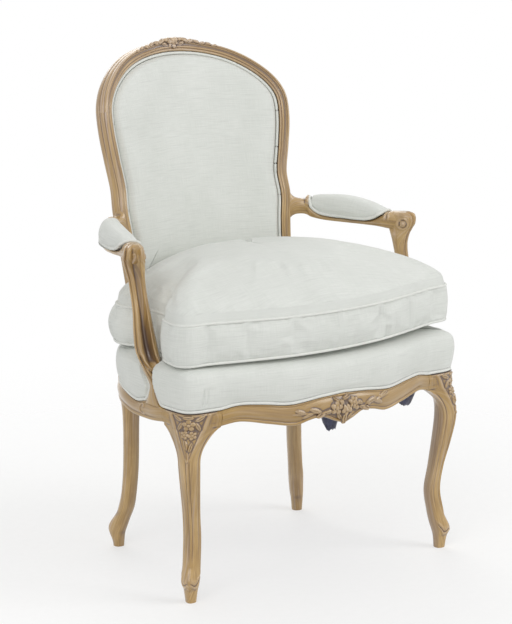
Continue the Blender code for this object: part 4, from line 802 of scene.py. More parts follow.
BACK_RINGS = 900
SECTION_PARTS = 3
REAR_LEG_SOFT = 0.42  # 0 for a square rear leg, 0.5 for a round one
REAR_LEG_FULL = 1.12  # makes up for the corners that the softness takes off
REAR_TOE = 0.036
REAR_TOE_HALF = 0.034
REAR_TOE_OUT = 0.6
LEG_ROWS, NECK_ROWS = 170, 40
BOTTOM_RAIL = ((0, -0.3), (0.5, -0.3), (1, -0.3), (1, -0.65), (1, -1), (0.5, -1), (0, -1), (0, -0.65))


def frame_section(wide, shown):
    """Points (outward, forward) of the back frame's section by its width and how far its grooves show."""
    points = [(share * wide, height * MM * (0.55 + 0.45 * shown)) for share, height in FRAME_MOULDING]
    for share, deep in FRAME_SIDE:
        cuts = [depth * ridge(deep - place, width) for place, width, depth in SIDE_GROOVES]
        points.append(((share - cuts[0] - cuts[1] * shown) * wide, deep * FRAME_DEPTH))
    points += [(share * FRAME_TACK, deep * FRAME_DEPTH) for share, deep in FRAME_HIDDEN]
    return sections(points, wide)


def frame_grid(line):
    """Rings of the back frame along its inner line."""
    origin, out, front = frame_axes(line)
    low, high = SIDE_GROOVE_FADE
    section = frame_section(frame_face(line), step_up((line[:, 2] - low) / (high - low)))
    grid = origin[:, None] + out[:, None] * section[..., :1] + front[:, None] * section[..., 1:]
    return fine(grid, SECTION_PARTS)


def square_ring(z):
    """Ring of the right rear leg at a height, in the order of the frame's section."""
    out, rearward, half = smooth(REAR_LEG_FORM, z / RAIL_TOP)
    corners = [(2 * share - 1, -1.0) for share, _ in FRAME_MOULDING]
    corners += [(1.0, v) for v in np.linspace(-0.8, 0.8, len(FRAME_SIDE) - 4)]
    corners += [(u, 1.0) for u in (1.0, 0.5, 0.1, -0.4)]
    corners += [(-1.0, v) for v in (1.0, 0.5, 0.0, -0.4, -0.7)]
    a, b = np.array(corners).T
    ring = xyz(a * np.sqrt(1 - REAR_LEG_SOFT * b * b), b * np.sqrt(1 - REAR_LEG_SOFT * a * a), 0)
    kick = np.array([1, 1, 0]) / math.sqrt(2)
    curl = REAR_TOE_OUT * bump(z - REAR_TOE, REAR_TOE_HALF)
    ring += (curl * np.maximum(ring @ kick, 0))[:, None] * kick
    centre = np.array([POST_X + out, POST_Y + rearward, z])
    return divided(centre + ring * half * REAR_LEG_FULL, SECTION_PARTS)


def crest_motifs():
    """The flower on the crest and the leaf sprays on either side of it."""
    made = [(flower, (0, -9), 12, 5.5, 6, 20)]
    for sign in (-1, 1):
        made += [(bud, (sign * 8, 2), 5, 3.5), (bud, (sign * 14, 0), 5, 3.5)]
        made.append((leaf, (sign * 17, -12), (16, 8), sign * 25, 3))
        for k in range(6):
            rise, tilt = (-3.5, 24) if k % 2 else (-0.5, -24)
            size = (20 - 1.6 * k, 9 - 0.7 * k)
            made.append((leaf, (sign * (22 + 12.5 * k), rise), size, sign * tilt, 3.6 - 0.35 * k))
    return made


def build_back_frame():
    line = back_line(BACK_RINGS)
    grid = frame_grid(line)
    run = lengths(on_back(line[:, 0], line[:, 2], 0))
    outer_edge = (len(FRAME_MOULDING) - 1) * SECTION_PARTS
    half = BACK_RINGS // 2
    height = carving((run - run[half])[:, None], around(grid, outer_edge), crest_motifs())
    joint = np.abs(line[:half, 2] - BACK_FOOT - CREST_JOINT * BACK_RISE).argmin()
    timber("crest_rail", raised(grid, height)[joint : BACK_RINGS - joint])
    low = [square_ring(z) for z in np.linspace(0, RAIL_TOP, LEG_ROWS)]
    neck = [low[-1] + (grid[0] - low[-1]) * step_up(t) for t in np.linspace(0.02, 0.98, NECK_ROWS)]
    on_both_sides("rear_post", np.concatenate([low, neck, grid[: joint + 1]]))
    end = BACK_LINE[0][0] * BACK_HALF - FRAME_TACK
    x = np.linspace(-end, end, 60)
    heights = [PADDING_FOOT + (up - 0.5) * BACK_RAIL_HEIGHT for up, _ in BOTTOM_RAIL]
    rings = [on_back(x, z, deep * FRAME_DEPTH) for z, (_, deep) in zip(heights, BOTTOM_RAIL)]
    timber("back_bottom_rail", fine(np.stack(rings, 1)))


# Seat rails


def groove_faded(back, groove, shown):
    """A setback of a rail's face, which stays only outside its grooves where shown is 0."""
    return back * shown + (min(back, 0) if groove else back) * (1 - shown)


def rail_profile(crest, under, shown):
    """Points (setback, height) of a rail's section, whose grooves fade where shown is 0."""
    foot = under + RAIL_BEAD_TOP
    points = [(RAIL_THICK, under), (0.5 * RAIL_THICK, under)]
    points += [(groove_faded(back * MM, up > RAIL_ROUND, shown), under + up * MM) for up, back in RAIL_BEAD]
    points += [(groove_faded(back * MM, True, shown), foot + up * (crest - foot)) for up, back in RAIL_FACE]
    points += [(REBATE, crest), (REBATE, RAIL_TOP), (RAIL_THICK, RAIL_TOP)]
    return sections(points, crest)


def stem(u, v, sign, lift):
    """The thin stem of a leaf spray, to the right (1) or the left (-1) of a bouquet."""
    u = sign * u
    body = ridge(v + 2 - 0.20 * np.clip(u - 40, 0, None) * lift, 1.3)
    return 1.6 * body * step_up((u - 34) / 8) * step_up((112 - u) / 12)


def spray(sign, lift):
    """Motifs of a leaf spray beside a bouquet, which climbs by its lift."""
    made = [(bud, (sign * 57, 1), 4, 3.6), (stem, sign, lift)]
    for k in range(4):
        rise, tilt = (4, 16) if k % 2 else (-3, -18)
        at = (sign * (46 + 16 * k), -2 + 3.5 * k * lift + rise)
        made.append((leaf, at, (32 - 2.5 * k, 10 - k), sign * tilt, 3.6 - 0.45 * k))
    return made


def hook(u, v, radius, height):
    """A C-scroll that opens to the front."""
    closed = np.clip((150 - np.abs(np.degrees(np.arctan2(v, u)))) / 30, 0, 1)
    return height * ridge(np.hypot(u, v) - radius, 1.6) * closed


CARVED_DEPTH = 0.7 * REBATE
BOUQUET_AT = 0.330
BOUQUET = (
    (flower, (-19, 3), 12, 6.5, 5, 10), (flower, (18, 9), 11, 6, 6, 40), (flower, (1, -2), 10, 7, 5, 55),
    (bud, (9, -3), 5, 6.5), (bud, (-8, 12), 5, 5.5), (bud, (26, -1), 4.5, 5.5),
    (leaf, (3, 20), (19, 9), 18, 5), (leaf, (-18, 18), (17, 8), -32, 4.5),
    (leaf, (-2, -18), (20, 11), 84, 5.5), (leaf, (9, -15), (17, 8), 52, 5),
    (leaf, (-12, -13), (17, 8), 128, 5), (leaf, (34, 6), (16, 8), -15, 4.5),
    (leaf, (-35, -2), (17, 8), 10, 4.5), *spray(-1, 0.2), *spray(1, 1),
)
SIDE_SCROLL_AT = (CONSOLE_Y + 0.030, LEDGE - 0.013)
SIDE_SCROLL = ((hook, 9, 1.8), (bud, (-4, 6), 2.8, 2))


def build_front_rail():
    x = np.linspace(-KNEE_X, KNEE_X, 520)
    shown = step_up((KNEE_X - np.abs(x)) / KNEE_FADE)
    section = rail_profile(front_crest(x), LEDGE - smooth(FRONT_DROP, np.abs(x) / SEAT_HALF), shown)
    face = front_face(x)[:, None]
    grid = fine(xyz(x[:, None], face + section[..., 0], section[..., 1]))
    seen = grid[..., 1] < face + CARVED_DEPTH
    height = carving(grid[..., 0], grid[..., 2] - BOUQUET_AT, BOUQUET) * seen
    timber("front_rail", raised(grid, height), worn=shown[:, None])


def build_side_rails():
    y = np.linspace(KNEE_Y, POST_FACE, 240)
    shown = step_up((y - KNEE_Y) / KNEE_FADE)
    section = rail_profile(side_crest(y), LEDGE - smooth(SIDE_DROP, side_share(y)), shown)
    face = side_face(y)[:, None]
    slope = (side_face(y + MM) - side_face(y - MM)) / (2 * MM)
    skew = np.sqrt(1 + slope**2)[:, None]
    grid = fine(xyz(face - section[..., 0] * skew, y[:, None], section[..., 1]))
    seen = grid[..., 0] > face - CARVED_DEPTH
    height = carving(grid[..., 1] - SIDE_SCROLL_AT[0], grid[..., 2] - SIDE_SCROLL_AT[1], SIDE_SCROLL) * seen
    on_both_sides("side_rail", raised(grid, height), shown[:, None])


def build_rear_rail():
    end = POST_X - POST_HALF
    x = np.linspace(-end, end, 40)
    section = rail_profile(LEDGE + 0 * x, LEDGE - SIDE_DROP[-1][1], 1)
    timber("rear_rail", fine(xyz(x[:, None], SEAT_REAR - section[..., 0], section[..., 1])))


# Front legs

LEG_POINTS = 160
CARTOUCHE_TIP = 0.266
CARTOUCHE_TOP = 0.345
SHARPNESS = 1.42  # 1 for a square leg, 2 for a round one
CHEEK = 0.21  # place round the knee block at which its cheeks begin
INSIDE = 0.29  # place round the knee block at which its inside begins
LINES_FROM = 0.060
LINES_FADE = 0.03
EDGES_FROM = 0.070
SHIN_ROWS, KNEE_ROWS = 240, 95
# Half width of the cartouche in millimetres, by its share of the height
CARTOUCHE = ((0, 4.4), (0.25, 13.5), (0.5, 22), (0.75, 30.5), (1, 40))
# Height of the toe's edge, by the way round from the outer ridge
TOE = ((0, 0.0385), (0.005, 0.0375), (0.011, 0.0335), (0.016, 0.0345), (0.022, 0.0420), (0.030, 0.0550))
KNEE_FLOWERS_AT = 0.302
KNEE_FLOWERS_SIZE = (1.22, 1.02)
KNEE_FLOWERS = (
    (leaf, (0, 39), (20, 8), 0, 4), (leaf, (-19, 37), (19, 8), -28, 3.8), (leaf, (19, 37), (19, 8), 28, 3.8),
    (flower, (1, 26), 10.5, 5, 5, 18), (flower, (-5, 10), 7.5, 4.6, 5, 0), (flower, (7, 9), 7.5, 4.6, 5, 40),
    (leaf, (-14, 23), (18, 8), 62, 3.8), (leaf, (15, 23), (18, 8), 118, 3.8),
    (leaf, (-3, -7), (20, 8), 100, 4), (leaf, (5, -11), (18, 7), 76, 3.8), (leaf, (0, -28), (20, 6), 90, 3),
)


def leg_turns():
    """Places round the leg, from 0 at its outer ridge, closer together near that ridge."""
    t = np.linspace(-0.5, 0.5, LEG_POINTS, endpoint=False)
    made = np.sign(t) * (0.45 * np.abs(t) + 2.2 * np.abs(t) ** 3)
    for edge in (-CHEEK, CHEEK):
        made[np.abs(made - edge).argmin()] = edge
    return made


TURNS = leg_turns()


def leg_ring(z):
    sweep, deep, wide = smooth(LEG_FORM, z / LEDGE)
    waves = np.cos(2 * np.pi * TURNS), np.sin(2 * np.pi * TURNS)
    a, b = (np.sign(wave) * np.abs(wave) ** (2 / SHARPNESS) for wave in waves)
    out, across = np.array([1, -1, 0]) / math.sqrt(2), np.array([1, 1, 0]) / math.sqrt(2)
    centre = np.array([SEAT_HALF - FOOT_INSET, CORNER_Y + FOOT_INSET, z]) + out * sweep
    return centre + a[:, None] * out * deep - b[:, None] * across * wide


def knee_ring(z, setback):
    """Ring of the knee block: the inside, one cheek, the seat's rounded corner and the other cheek."""
    outline = inset(plan(1600), setback)
    corner = outline[(outline[:, 0] >= KNEE_X) & (outline[:, 1] <= KNEE_Y)][::-1]
    front_in = np.array([KNEE_X, front_face(KNEE_X) + RAIL_THICK, 0])
    rear_in = np.array([side_face(KNEE_Y) - RAIL_THICK, KNEE_Y, 0])
    inner = np.array([rear_in[0] - RAIL_THICK / 3, front_in[1] + RAIL_THICK / 3, 0])
    run = lengths(corner) / lengths(corner)[-1]
    places = np.concatenate([[-0.5, -INSIDE], CHEEK * (2 * run - 1), [INSIDE, 0.5]])
    points = np.concatenate([[inner, rear_in], corner, [front_in, inner]])
    return at_height(np.stack([np.interp(TURNS, places, points[:, k]) for k in range(3)], -1), z)


def rail_setback(z, drop):
    """How far a rail's face stands back at a height, where it meets the knee block."""
    setbacks, heights = rail_profile(np.array([LEDGE]), LEDGE - drop, 0)[0, 2:-3].T
    return np.interp(z, heights, setbacks)


def leg_lines(d, z):
    """Two grooves down the outer ridge, and the frame of the cartouche they open into, in millimetres."""
    border = smooth(CARTOUCHE, (z - CARTOUCHE_TIP) / (CARTOUCHE_TOP - CARTOUCHE_TIP))
    off = np.abs(d) - border
    fade = step_up((z - LINES_FROM) / LINES_FADE)
    below = 1 - step_up((z - CARTOUCHE_TIP + 0.008) / 0.014)
    framed = 0.3 + 0.8 * step_up((z - CARTOUCHE_TIP) / 0.035)
    grooves = 1.2 * ridge(d, 1.4) - 1.5 * ridge(np.abs(d) - 4.0, 1.5)
    lines = below * grooves + (1 - below) * framed * ridge(off - 3.4, 3.8)
    sunk = -1.7 * step_up(-off / 2.6) * step_up((z - CARTOUCHE_TIP) / 0.006)
    top_edge = 1.5 * ridge(z - CARTOUCHE_TOP, 1.6 * MM) * (off < 0)
    return fade * (lines * (z < LEDGE - 2 * MM) + sunk) + top_edge


def leg_toe(d, z):
    """The curled toe over the foot, in millimetres."""
    off = (z - smooth(TOE, d)) / MM
    near = step_up((0.030 - d) / 0.010)
    side = step_up(d / 0.008)
    curl = 1.2 * ridge(off + 3.4, 2.4) * (0.2 + 0.8 * side) - (0.1 + 1.2 * side) * ridge(off, 1.6)
    curl += 1.2 * ridge(off - 6, 4.5) * (0.3 + 0.7 * side)
    return near * curl - 0.9 * ridge(d, 2.2 * MM) * bump(z - 0.056, 0.022)


def leg_edges(d, z):
    """Beads along the leg's two side edges, which carry on from the rails' lower beads, in millimetres."""
    at = 0.25 - 0.04 * step_up((z[:, 0] - KNEE) / (EAR - KNEE))
    front, side = (np.array([[np.interp(way * q, TURNS, row)] for q, row in zip(at, d)]) for way in (1, -1))
    off = (d - np.where(TURNS > 0, front, side)) / MM
    shown = step_up((z - EDGES_FROM) / LINES_FADE) * (1 - step_up((z - EAR + 0.018) / 0.014))
    return shown * (0.5 * ridge(off + 2.4, 2.0) - 0.6 * ridge(off + 6.2, 1.8))


def leg_relief(grid):
    d = around(grid, LEG_POINTS // 2)
    z = grid[..., 2]
    wide, tall = KNEE_FLOWERS_SIZE
    flowers = carving(d / wide, (z - KNEE_FLOWERS_AT) / tall, KNEE_FLOWERS)
    lines = leg_lines(d / MM, z) + leg_toe(np.abs(d), z) + leg_edges(np.abs(d), z)
    return (MM * lines + 0.8 * flowers) * (z < LEDGE)


def build_front_legs():
    rings = [leg_ring(z) for z in np.linspace(0, KNEE, SHIN_ROWS)]
    top = knee_ring(0, 0)
    inward = (knee_ring(0, MM) - top) / MM
    beside = step_up((np.abs(TURNS) - 0.12) / 0.08) * (np.abs(TURNS) < 0.25)
    for z in np.linspace(KNEE, LEDGE, KNEE_ROWS)[1:]:
        rise = min((z - KNEE) / (EAR - KNEE), 1)
        spread = 0.7 * rise**2 + 0.3 * (1 - math.sqrt(1 - rise**2))
        setback = np.where(TURNS > 0, rail_setback(z, FRONT_DROP[-1][1]), rail_setback(z, SIDE_DROP[0][1]))
        high = top + inward * (setback * beside)[:, None] + (0, 0, z)
        rings.append(leg_ring(z) + (high - leg_ring(z)) * spread)
    grid = np.stack(rings)
    stump = [knee_ring(z, REBATE) for z in (LEDGE + 0.0003, RAIL_TOP)]
    grid = np.concatenate([raised(grid, leg_relief(grid)), stump])
    at_rail = step_up((grid[..., 2] - EAR + 0.012) / 0.012)
    at_cheek = step_up((np.abs(TURNS) - CHEEK + 0.05) / 0.03)
    on_both_sides("front_leg", grid, 1 - at_rail * at_cheek)


# Arms and their supports

# Section of an arm support, round from its outer edge: across, deep and share of the channel's depth
CONSOLE_SECTION = (
    (1, -0.50, 0), (0.99, -0.80, 0), (0.91, -0.98, 0), (0.82, -0.98, 0), (0.76, -0.86, 0), (0.70, -0.90, 0),
    (0.60, -1.04, 0), (0.46, -1.08, 0), (0.32, -1.03, 0), (0.22, -0.94, 0.10), (0.15, -0.92, 0.80),
    (0.04, -0.94, 1), (-0.16, -0.96, 0.95), (-0.36, -0.98, 0.72), (-0.54, -1, 0.40), (-0.66, -1.03, 0.05),
    (-0.74, -1.06, 0), (-0.83, -1, 0), (-0.88, -0.86, 0), (-0.94, -0.84, 0), (-1, -0.55, 0), (-1, 0, 0),
    (-0.98, 0.50, 0), (-0.76, 0.88, 0), (-0.40, 1, 0), (0, 1.02, 0), (0.40, 1, 0), (0.76, 0.88, 0),
    (0.98, 0.50, 0), (1, 0, 0),
)
# Depth of the channel by the share of the support's height
CHANNEL = (
    (0, 0), (0.262, 0), (0.280, 0.25), (0.305, 0.95), (0.35, 1.15), (0.45, 0.95), (0.60, 0.62), (0.78, 0.40),
    (1.0, 0.32), (1.13, 0.20),
)
CURL_AT = (-0.22, 0.315)  # across the support, share of its height
CURL_SIZE = (0.62, 0.070)
HEAD_FROM = 0.95  # share of the height at which the scroll head begins
HEAD_SHIFT = 0.003
HEAD_WEAR_AND_SHADE = 0.4  # share of the relief's tint, patina and painted shade in the hollows and wear and painted highlight on the ridges, that the heads of supports and arms lose
BOSS_AHEAD = 0.0105
BOSS_RISE = 0.0135
BOSS_RADIUS = 6.0
# Section of an arm: across and up, round from its underside
ARM_SIDE = (
    (0.50, 0), (0.78, 0.04), (0.92, 0.13), (0.90, 0.21), (0.98, 0.33), (1, 0.50), (0.96, 0.68),
    (0.84, 0.85), (0.62, 0.96), (0.33, 1),
)
ARM_SECTION = ((-0.50, 0), (0, -0.02), *ARM_SIDE, (0, 1.01), *((-u, up) for u, up in ARM_SIDE[:0:-1]))
HEAD_SHORT = 0.020  # share of the arm by which its head stays behind its support's face


def boss(grid, sweep):
    """The round boss on either side of an arm support's head, in its ring."""
    c, s = math.cos(CONSOLE_TURN), math.sin(CONSOLE_TURN)
    deep = (grid[..., 1] - CONSOLE_Y - sweep) * c - (grid[..., 0] - CONSOLE_X) * s
    r = np.hypot(deep + BOSS_AHEAD, grid[..., 2] - ARM_UNDER - BOSS_RISE) / MM
    sideways = np.abs(normals(grid) @ (c, s, 0)) > 0.5
    dome = 2.0 * np.sqrt(np.clip(1 - (r / BOSS_RADIUS) ** 2, 0, None))
    return MM * (dome - 1.2 * ridge(r - 7.4, 1.2) + 0.9 * ridge(r - 10.2, 1.4)) * sideways


def build_arm_supports():
    parts = ((0, 0.36, 120, False), (0.36, 0.94, 90, False), (0.94, CONSOLE_FORM[-1][0], 70, True))
    share = np.concatenate([np.linspace(*part) for part in parts])[:, None]
    sweep, wide, deep, turn = np.moveaxis(smooth(CONSOLE_FORM, share), -1, 0)
    u, v, cut = np.array(CONSOLE_SECTION).T
    r = np.hypot((u - CURL_AT[0]) / CURL_SIZE[0], (share - CURL_AT[1]) / CURL_SIZE[1])
    low = step_up((CURL_AT[1] + 0.05 - share) / 0.05) * (v < -0.7)
    rim = low * (0.30 * ridge(r - 1.0, 0.16) - 0.22 * ridge(r - 1.5, 0.16))
    narrowed = 1 - 0.5 * step_up((share - HEAD_FROM) / 0.06) * step_up((v + 0.4) / 1.2)
    a = wide * u * narrowed + HEAD_SHIFT * step_up((share - 0.84) / 0.19)
    b = deep * (v - rim + cut * smooth(CHANNEL, share))
    c, s = np.cos(turn * CONSOLE_TURN), np.sin(turn * CONSOLE_TURN)
    z = CONSOLE_FOOT + share * (ARM_UNDER + 0.003 - CONSOLE_FOOT)
    grid = fine(xyz(CONSOLE_X + a * c - b * s, CONSOLE_Y + sweep + a * s + b * c, z))
    worn = 1 - HEAD_WEAR_AND_SHADE * step_up((share - HEAD_FROM) / 0.05)
    on_both_sides("arm_support", raised(grid, boss(grid, sweep)), worn)


def arm_relief(z, t):
    """Collar behind the pad and notches before it, by height and share of the arm."""
    collar = (2.6 * ridge(t - 0.138, 0.012) - 0.9 * ridge(t - 0.108, 0.008)) * step_up((z - 0.028) / 0.010)
    notches = 1.6 * ridge(t - 0.812, 0.007) - 1.2 * ridge(t - 0.829, 0.006) + 1.2 * ridge(t - 0.846, 0.006)
    return MM * (collar + notches * step_up((z - 0.014) / 0.01))


def build_arms(path):
    share = np.linspace(0, 1, 260)
    share = np.concatenate([share[:-30], np.linspace(share[-30], 1, 50)])
    centre, across = arm_axes(path, share - HEAD_SHORT * step_up((share - 0.85) / 0.15))
    share = share[:, None]
    half, low, high = np.moveaxis(smooth(ARM_FORM, share), -1, 0)
    u, up = np.array(ARM_SECTION).T
    grid = centre[:, None] + across[:, None] * (half * u)[..., None]
    grid[..., 2] = ARM_UNDER + low + (high - low) * up
    grid = fine(grid)
    height = arm_relief(grid[..., 2] - ARM_UNDER, share)
    on_both_sides("arm", raised(grid, height), 1 - HEAD_WEAR_AND_SHADE * step_up((share - 0.82) / 0.05))


# Upholstery of the back and the arms

# Height of the back's padding by shares of the way from its middle to its edge
PAD_FORM = (
    (0, 1), (0.25, 0.99), (0.5, 0.95), (0.72, 0.85), (0.86, 0.70), (0.97, 0.40), (0.995, 0.16), (1, 0.02),
)
# Height and share of the half width of an arm pad along it
PAD_TOP = ((0, 0.0475), (0.12, 0.0510), (0.45, 0.0530), (0.8, 0.0455), (1, 0.0360))
PAD_PLAN = ((0, 0.54), (0.08, 0.70), (0.22, 0.88), (0.48, 1.0), (0.76, 0.92), (0.92, 0.76), (1, 0.60))
PAD_POINTS = 44


def padding_outline(setback, count):
    """Outline of the back's padding in X and Z, drawn in from the frame's inner line."""
    line = back_line(600)
    arch = line[line[:, 2] > PADDING_FOOT]
    middle = [[0, 0, PADDING_FOOT]]
    corners = at_height(arch[[0, -1]], PADDING_FOOT)
    ring = along(np.concatenate([middle, corners[:1], arch, corners[1:], middle]), count + 1)[:-1]
    step = unit(np.roll(ring, -1, 0) - np.roll(ring, 1, 0))
    return ring + xyz(-step[:, 2], 0, step[:, 0]) * setback


def back_grid(outline, crown, base, rows):
    """Rings of the back's padding, over its flat back and its edge to its crown, as sewn."""
    middle = outline.mean(axis=0)
    behind = np.array([0.004, 0.25, 0.5, 0.75, 0.92, 1.0])
    front = np.concatenate([np.linspace(1, 0.9, rows // 3, endpoint=False), np.linspace(0.9, 0.004, rows)])
    shares = np.concatenate([behind, front])
    proud = np.concatenate([0 * behind + base, smooth(PAD_FORM, front) * crown])
    soft = eased(outline)
    flat = np.stack([panel_ring(outline, soft, middle, share) for share in shares])
    x, z = flat[..., 0], flat[..., 2]
    dimples = 0.5 * MM * np.sin(x * 61 + 1.3) * np.sin(z * 47) * (1 - shares[:, None])
    return on_back(x, z, proud[:, None] + dimples), xyz(x, z, 0)


def build_back():
    floor = -FRAME_REBATE + CLEAR
    path = padding_outline(WELT + CLEAR, 520)
    welt("back_welt", on_back(path[:, 0], path[:, 2], floor + WELT), WELT, True)
    cover = back_grid(padding_outline(2 * (WELT + CLEAR), 360), BACK_CROWN, floor, 36)
    cloth("back_cover", *cover)
    stuffing = back_grid(padding_outline(PADDED_INSET, 120), BACK_CROWN - 4 * MM, floor + 2 * MM, 12)
    cloth("back_stuffing", *stuffing, HAIR)
    outline = padding_outline(FRAME_TACK, 360)
    outline[:, 2] = np.maximum(outline[:, 2], PADDING_FOOT + BACK_RAIL_HEIGHT / 2)
    grid, sewn = back_grid(outline, -6 * MM, 3 * MM, 30)
    x, z = grid[..., 0], grid[..., 2]
    cloth("outside_back", grid - (on_back(x, z, 1) - on_back(x, z, 0)) * FRAME_DEPTH, sewn)


def arm_bed(share):
    return ARM_UNDER + smooth(ARM_FORM, share)[:, 2] + PAD_LIFT


def pad_grid(path, drawn):
    """Rings across an arm pad, from its rear end to its front end, drawn in by a cover's thickness."""
    start, end = PAD_SPAN
    v = 0.5 - 0.5 * np.cos(np.linspace(0.012, 0.988, 110) * np.pi)
    share = start + (end - start) * v
    from_end = np.minimum(np.minimum(v, 1 - v) / 0.036, 1)
    rounded = np.sqrt(np.clip(1 - (1 - from_end) ** 2, 0, 1))
    centre, across = arm_axes(path, share)
    base = arm_bed(share) - PAD_LIFT + 0.0003
    tall = (ARM_UNDER + smooth(PAD_TOP, v) - base) * (0.25 + 0.75 * rounded) - drawn
    half = PAD_HALF * smooth(PAD_PLAN, v) * (0.55 + 0.45 * rounded) - drawn
    turn = np.linspace(0, np.pi, PAD_POINTS)
    w = np.sin(turn) ** 0.8
    u = np.sign(np.cos(turn)) * np.abs(np.cos(turn)) ** 0.75 * (0.82 + 0.18 * step_up(w / 0.4))
    top = centre[:, None] + across[:, None] * (half[:, None] * u)[..., None]
    top[..., 2] = base[:, None] + tall[:, None] * w
    under = top[:, -2:0:-1].copy()
    under[..., 2] = base[:, None]
    grid = np.concatenate([top, under], 1)
    width = np.concatenate([1.7 * MM * np.arange(1, PAD_POINTS + 1), np.zeros(PAD_POINTS - 2)])
    return grid, xyz(lengthwise(grid), width, 0)


def arm_welt(path):
    """The welt under a pad's edge and across the arm before and behind it."""
    start, end = PAD_SPAN
    shares = np.linspace(start + 0.012, end - 0.012, 60)
    sides = []
    for sign, tip in ((1, np.array([end + 0.010])), (-1, np.array([start - 0.010]))):
        way = shares[::sign]
        centre, across = arm_axes(path, way)
        half = smooth(ARM_FORM, way)[:, :1]
        beside = at_height(centre + across * sign * (half + WELT * 0.8), arm_bed(way) + 0.2 * WELT)
        middle, over = arm_axes(path, tip)
        reach = over * 0.4 * sign * half[-1]
        over_arm = np.concatenate([middle + reach, middle - reach])
        sides += [beside, at_height(over_arm, arm_bed(tip) + 1.2 * WELT)]
    return curve_through(np.concatenate(sides), 420, closed=True)


def build_arm_pads(path):
    for name, side in SIDES:
        cloth(f"arm_pad_cover_{name}", *pad_grid(path, 0), side=side)
        cloth(f"arm_pad_stuffing_{name}", *pad_grid(path, PAD_COVER), HAIR, side=side)
        welt(f"arm_pad_welt_{name}", arm_welt(path), WELT, True, side=side)


# Seat

SEAT_ROWS = 64
# Edge of the seat: swell outwards and share of the height; then its top: shares of the plan and of the drop
SEAT_EDGE = (
    (0.6 * SEAT_SWELL, 0.32), (SEAT_SWELL, 0.55), (0, 0.76), (-SEAT_ROLL, 0.87), (-3 * SEAT_ROLL, 0.94),
)
SEAT_TOP = ((0.58, 0.02), (0.3, 0.005), (0.01, 0))
SEAT_EDGE_ROWS = 3.2  # rings from the lower edge up to the seam of the top panel
# Puckers of the cover at its left front corner: places in X, and depths; then their foot and top
PUCKERS = ((-0.2725, 2.6 * MM), (-0.2640, 2.288 * MM))
PUCKER_SPAN = (0.356, 0.398)


def seat_grid(outline, drawn):
    """Rings of the tight seat from its lower edge to its crown, and the sewing coordinates."""
    tall = SEAT_CROWN - LEDGE
    middle = outline.mean(axis=0)
    rings = [at_height(inset(outline, 0.25 * REBATE + drawn), crest_at(outline) + 2 * WELT + 0.001)]
    for out, share in SEAT_EDGE:
        rings.append(at_height(inset(outline, drawn - out), LEDGE + share * tall - drawn))
    for share, drop in SEAT_TOP:
        rings.append(at_height(middle + (outline - middle) * share, SEAT_CROWN - drop * tall - drawn))
    place = np.linspace(0, len(rings) - 1, SEAT_ROWS)
    grid = smooth([(k, ring.ravel()) for k, ring in enumerate(rings)], place).reshape(SEAT_ROWS, -1, 3)
    run = lengths(np.concatenate([outline, outline[:1]]))[:-1]
    panel = place[:, None, None] > SEAT_EDGE_ROWS
    return grid, np.where(panel, grid * (1, 1, 0), xyz(run, grid[..., 2], 0))


def console_reach(share):
    """Centre in Y, then half sizes along X and Y, of the arm support at shares of its height."""
    sweep, wide, deep, turn = np.moveaxis(smooth(CONSOLE_FORM, share), -1, 0)
    c, s = np.cos(turn * CONSOLE_TURN), np.sin(turn * CONSOLE_TURN)
    return CONSOLE_Y + sweep, wide * c + 0.4 * deep * s, 0.5 * wide * s + deep * c


def notched(grid):
    """The seat's rings drawn in round the arm supports."""
    x, y, z = np.moveaxis(grid, -1, 0)
    share = (z - CONSOLE_FOOT) / (ARM_UNDER - CONSOLE_FOOT)
    middle, half_x, half_y = console_reach(np.clip(share, 0, 1))
    inner = CONSOLE_X - half_x - 1.5 * MM
    near = step_up((half_y + 2.5 * WELT - np.abs(y - middle)) / (1.6 * WELT))
    return xyz(x - np.sign(x) * np.maximum(np.abs(x) - inner, 0) * near, y, z)


def inset_rings(grid, distance):
    """Rings drawn in towards the middle of the seat."""
    rel = (grid - grid.mean(axis=(0, 1))) * (1, 1, 0)
    length = np.maximum(np.linalg.norm(rel, axis=2, keepdims=True), 1e-6)
    return grid - rel / length * np.minimum(distance, 0.5 * length)


def build_seat():
    grid, sewn = seat_grid(plan(900), 0)
    grid = notched(grid)
    for place, depth in PUCKERS:
        x, y, z = np.moveaxis(grid, -1, 0)
        near = ridge(x - place - 0.06 * (z - 0.365), 1.6 * MM) * (y < -0.15)
        rise = step_up((z - PUCKER_SPAN[0]) / 0.008) * step_up((PUCKER_SPAN[1] - z) / 0.012)
        grid = raised(grid, -depth * near * rise)
    cloth("seat_cover", grid, sewn)
    grid, sewn = seat_grid(plan(160), SEAT_COVER)
    grid = notched(inset_rings(grid, 4 * WELT))
    grid[..., 2] = np.maximum(grid[..., 2], RAIL_TOP + 0.006)
    cloth("seat_stuffing", grid, sewn, HAIR)


def console_riser(side):
    """The welt's climb beside an arm support, in front of it (-1) or behind it (1)."""
    share = np.linspace(0.012, 0.235, 28)
    middle, _, half = console_reach(share)
    z = CONSOLE_FOOT + share * (ARM_UNDER - CONSOLE_FOOT)
    return xyz(SEAT_HALF - 0.6 * REBATE, middle + side * (half + WELT), z)


def softened(path):
    """A path with its kinks smoothed."""
    for _ in range(14):
        path = np.concatenate([path[:1], (path[:-2] + 2 * path[1:-1] + path[2:]) / 4, path[-1:]])
    return path


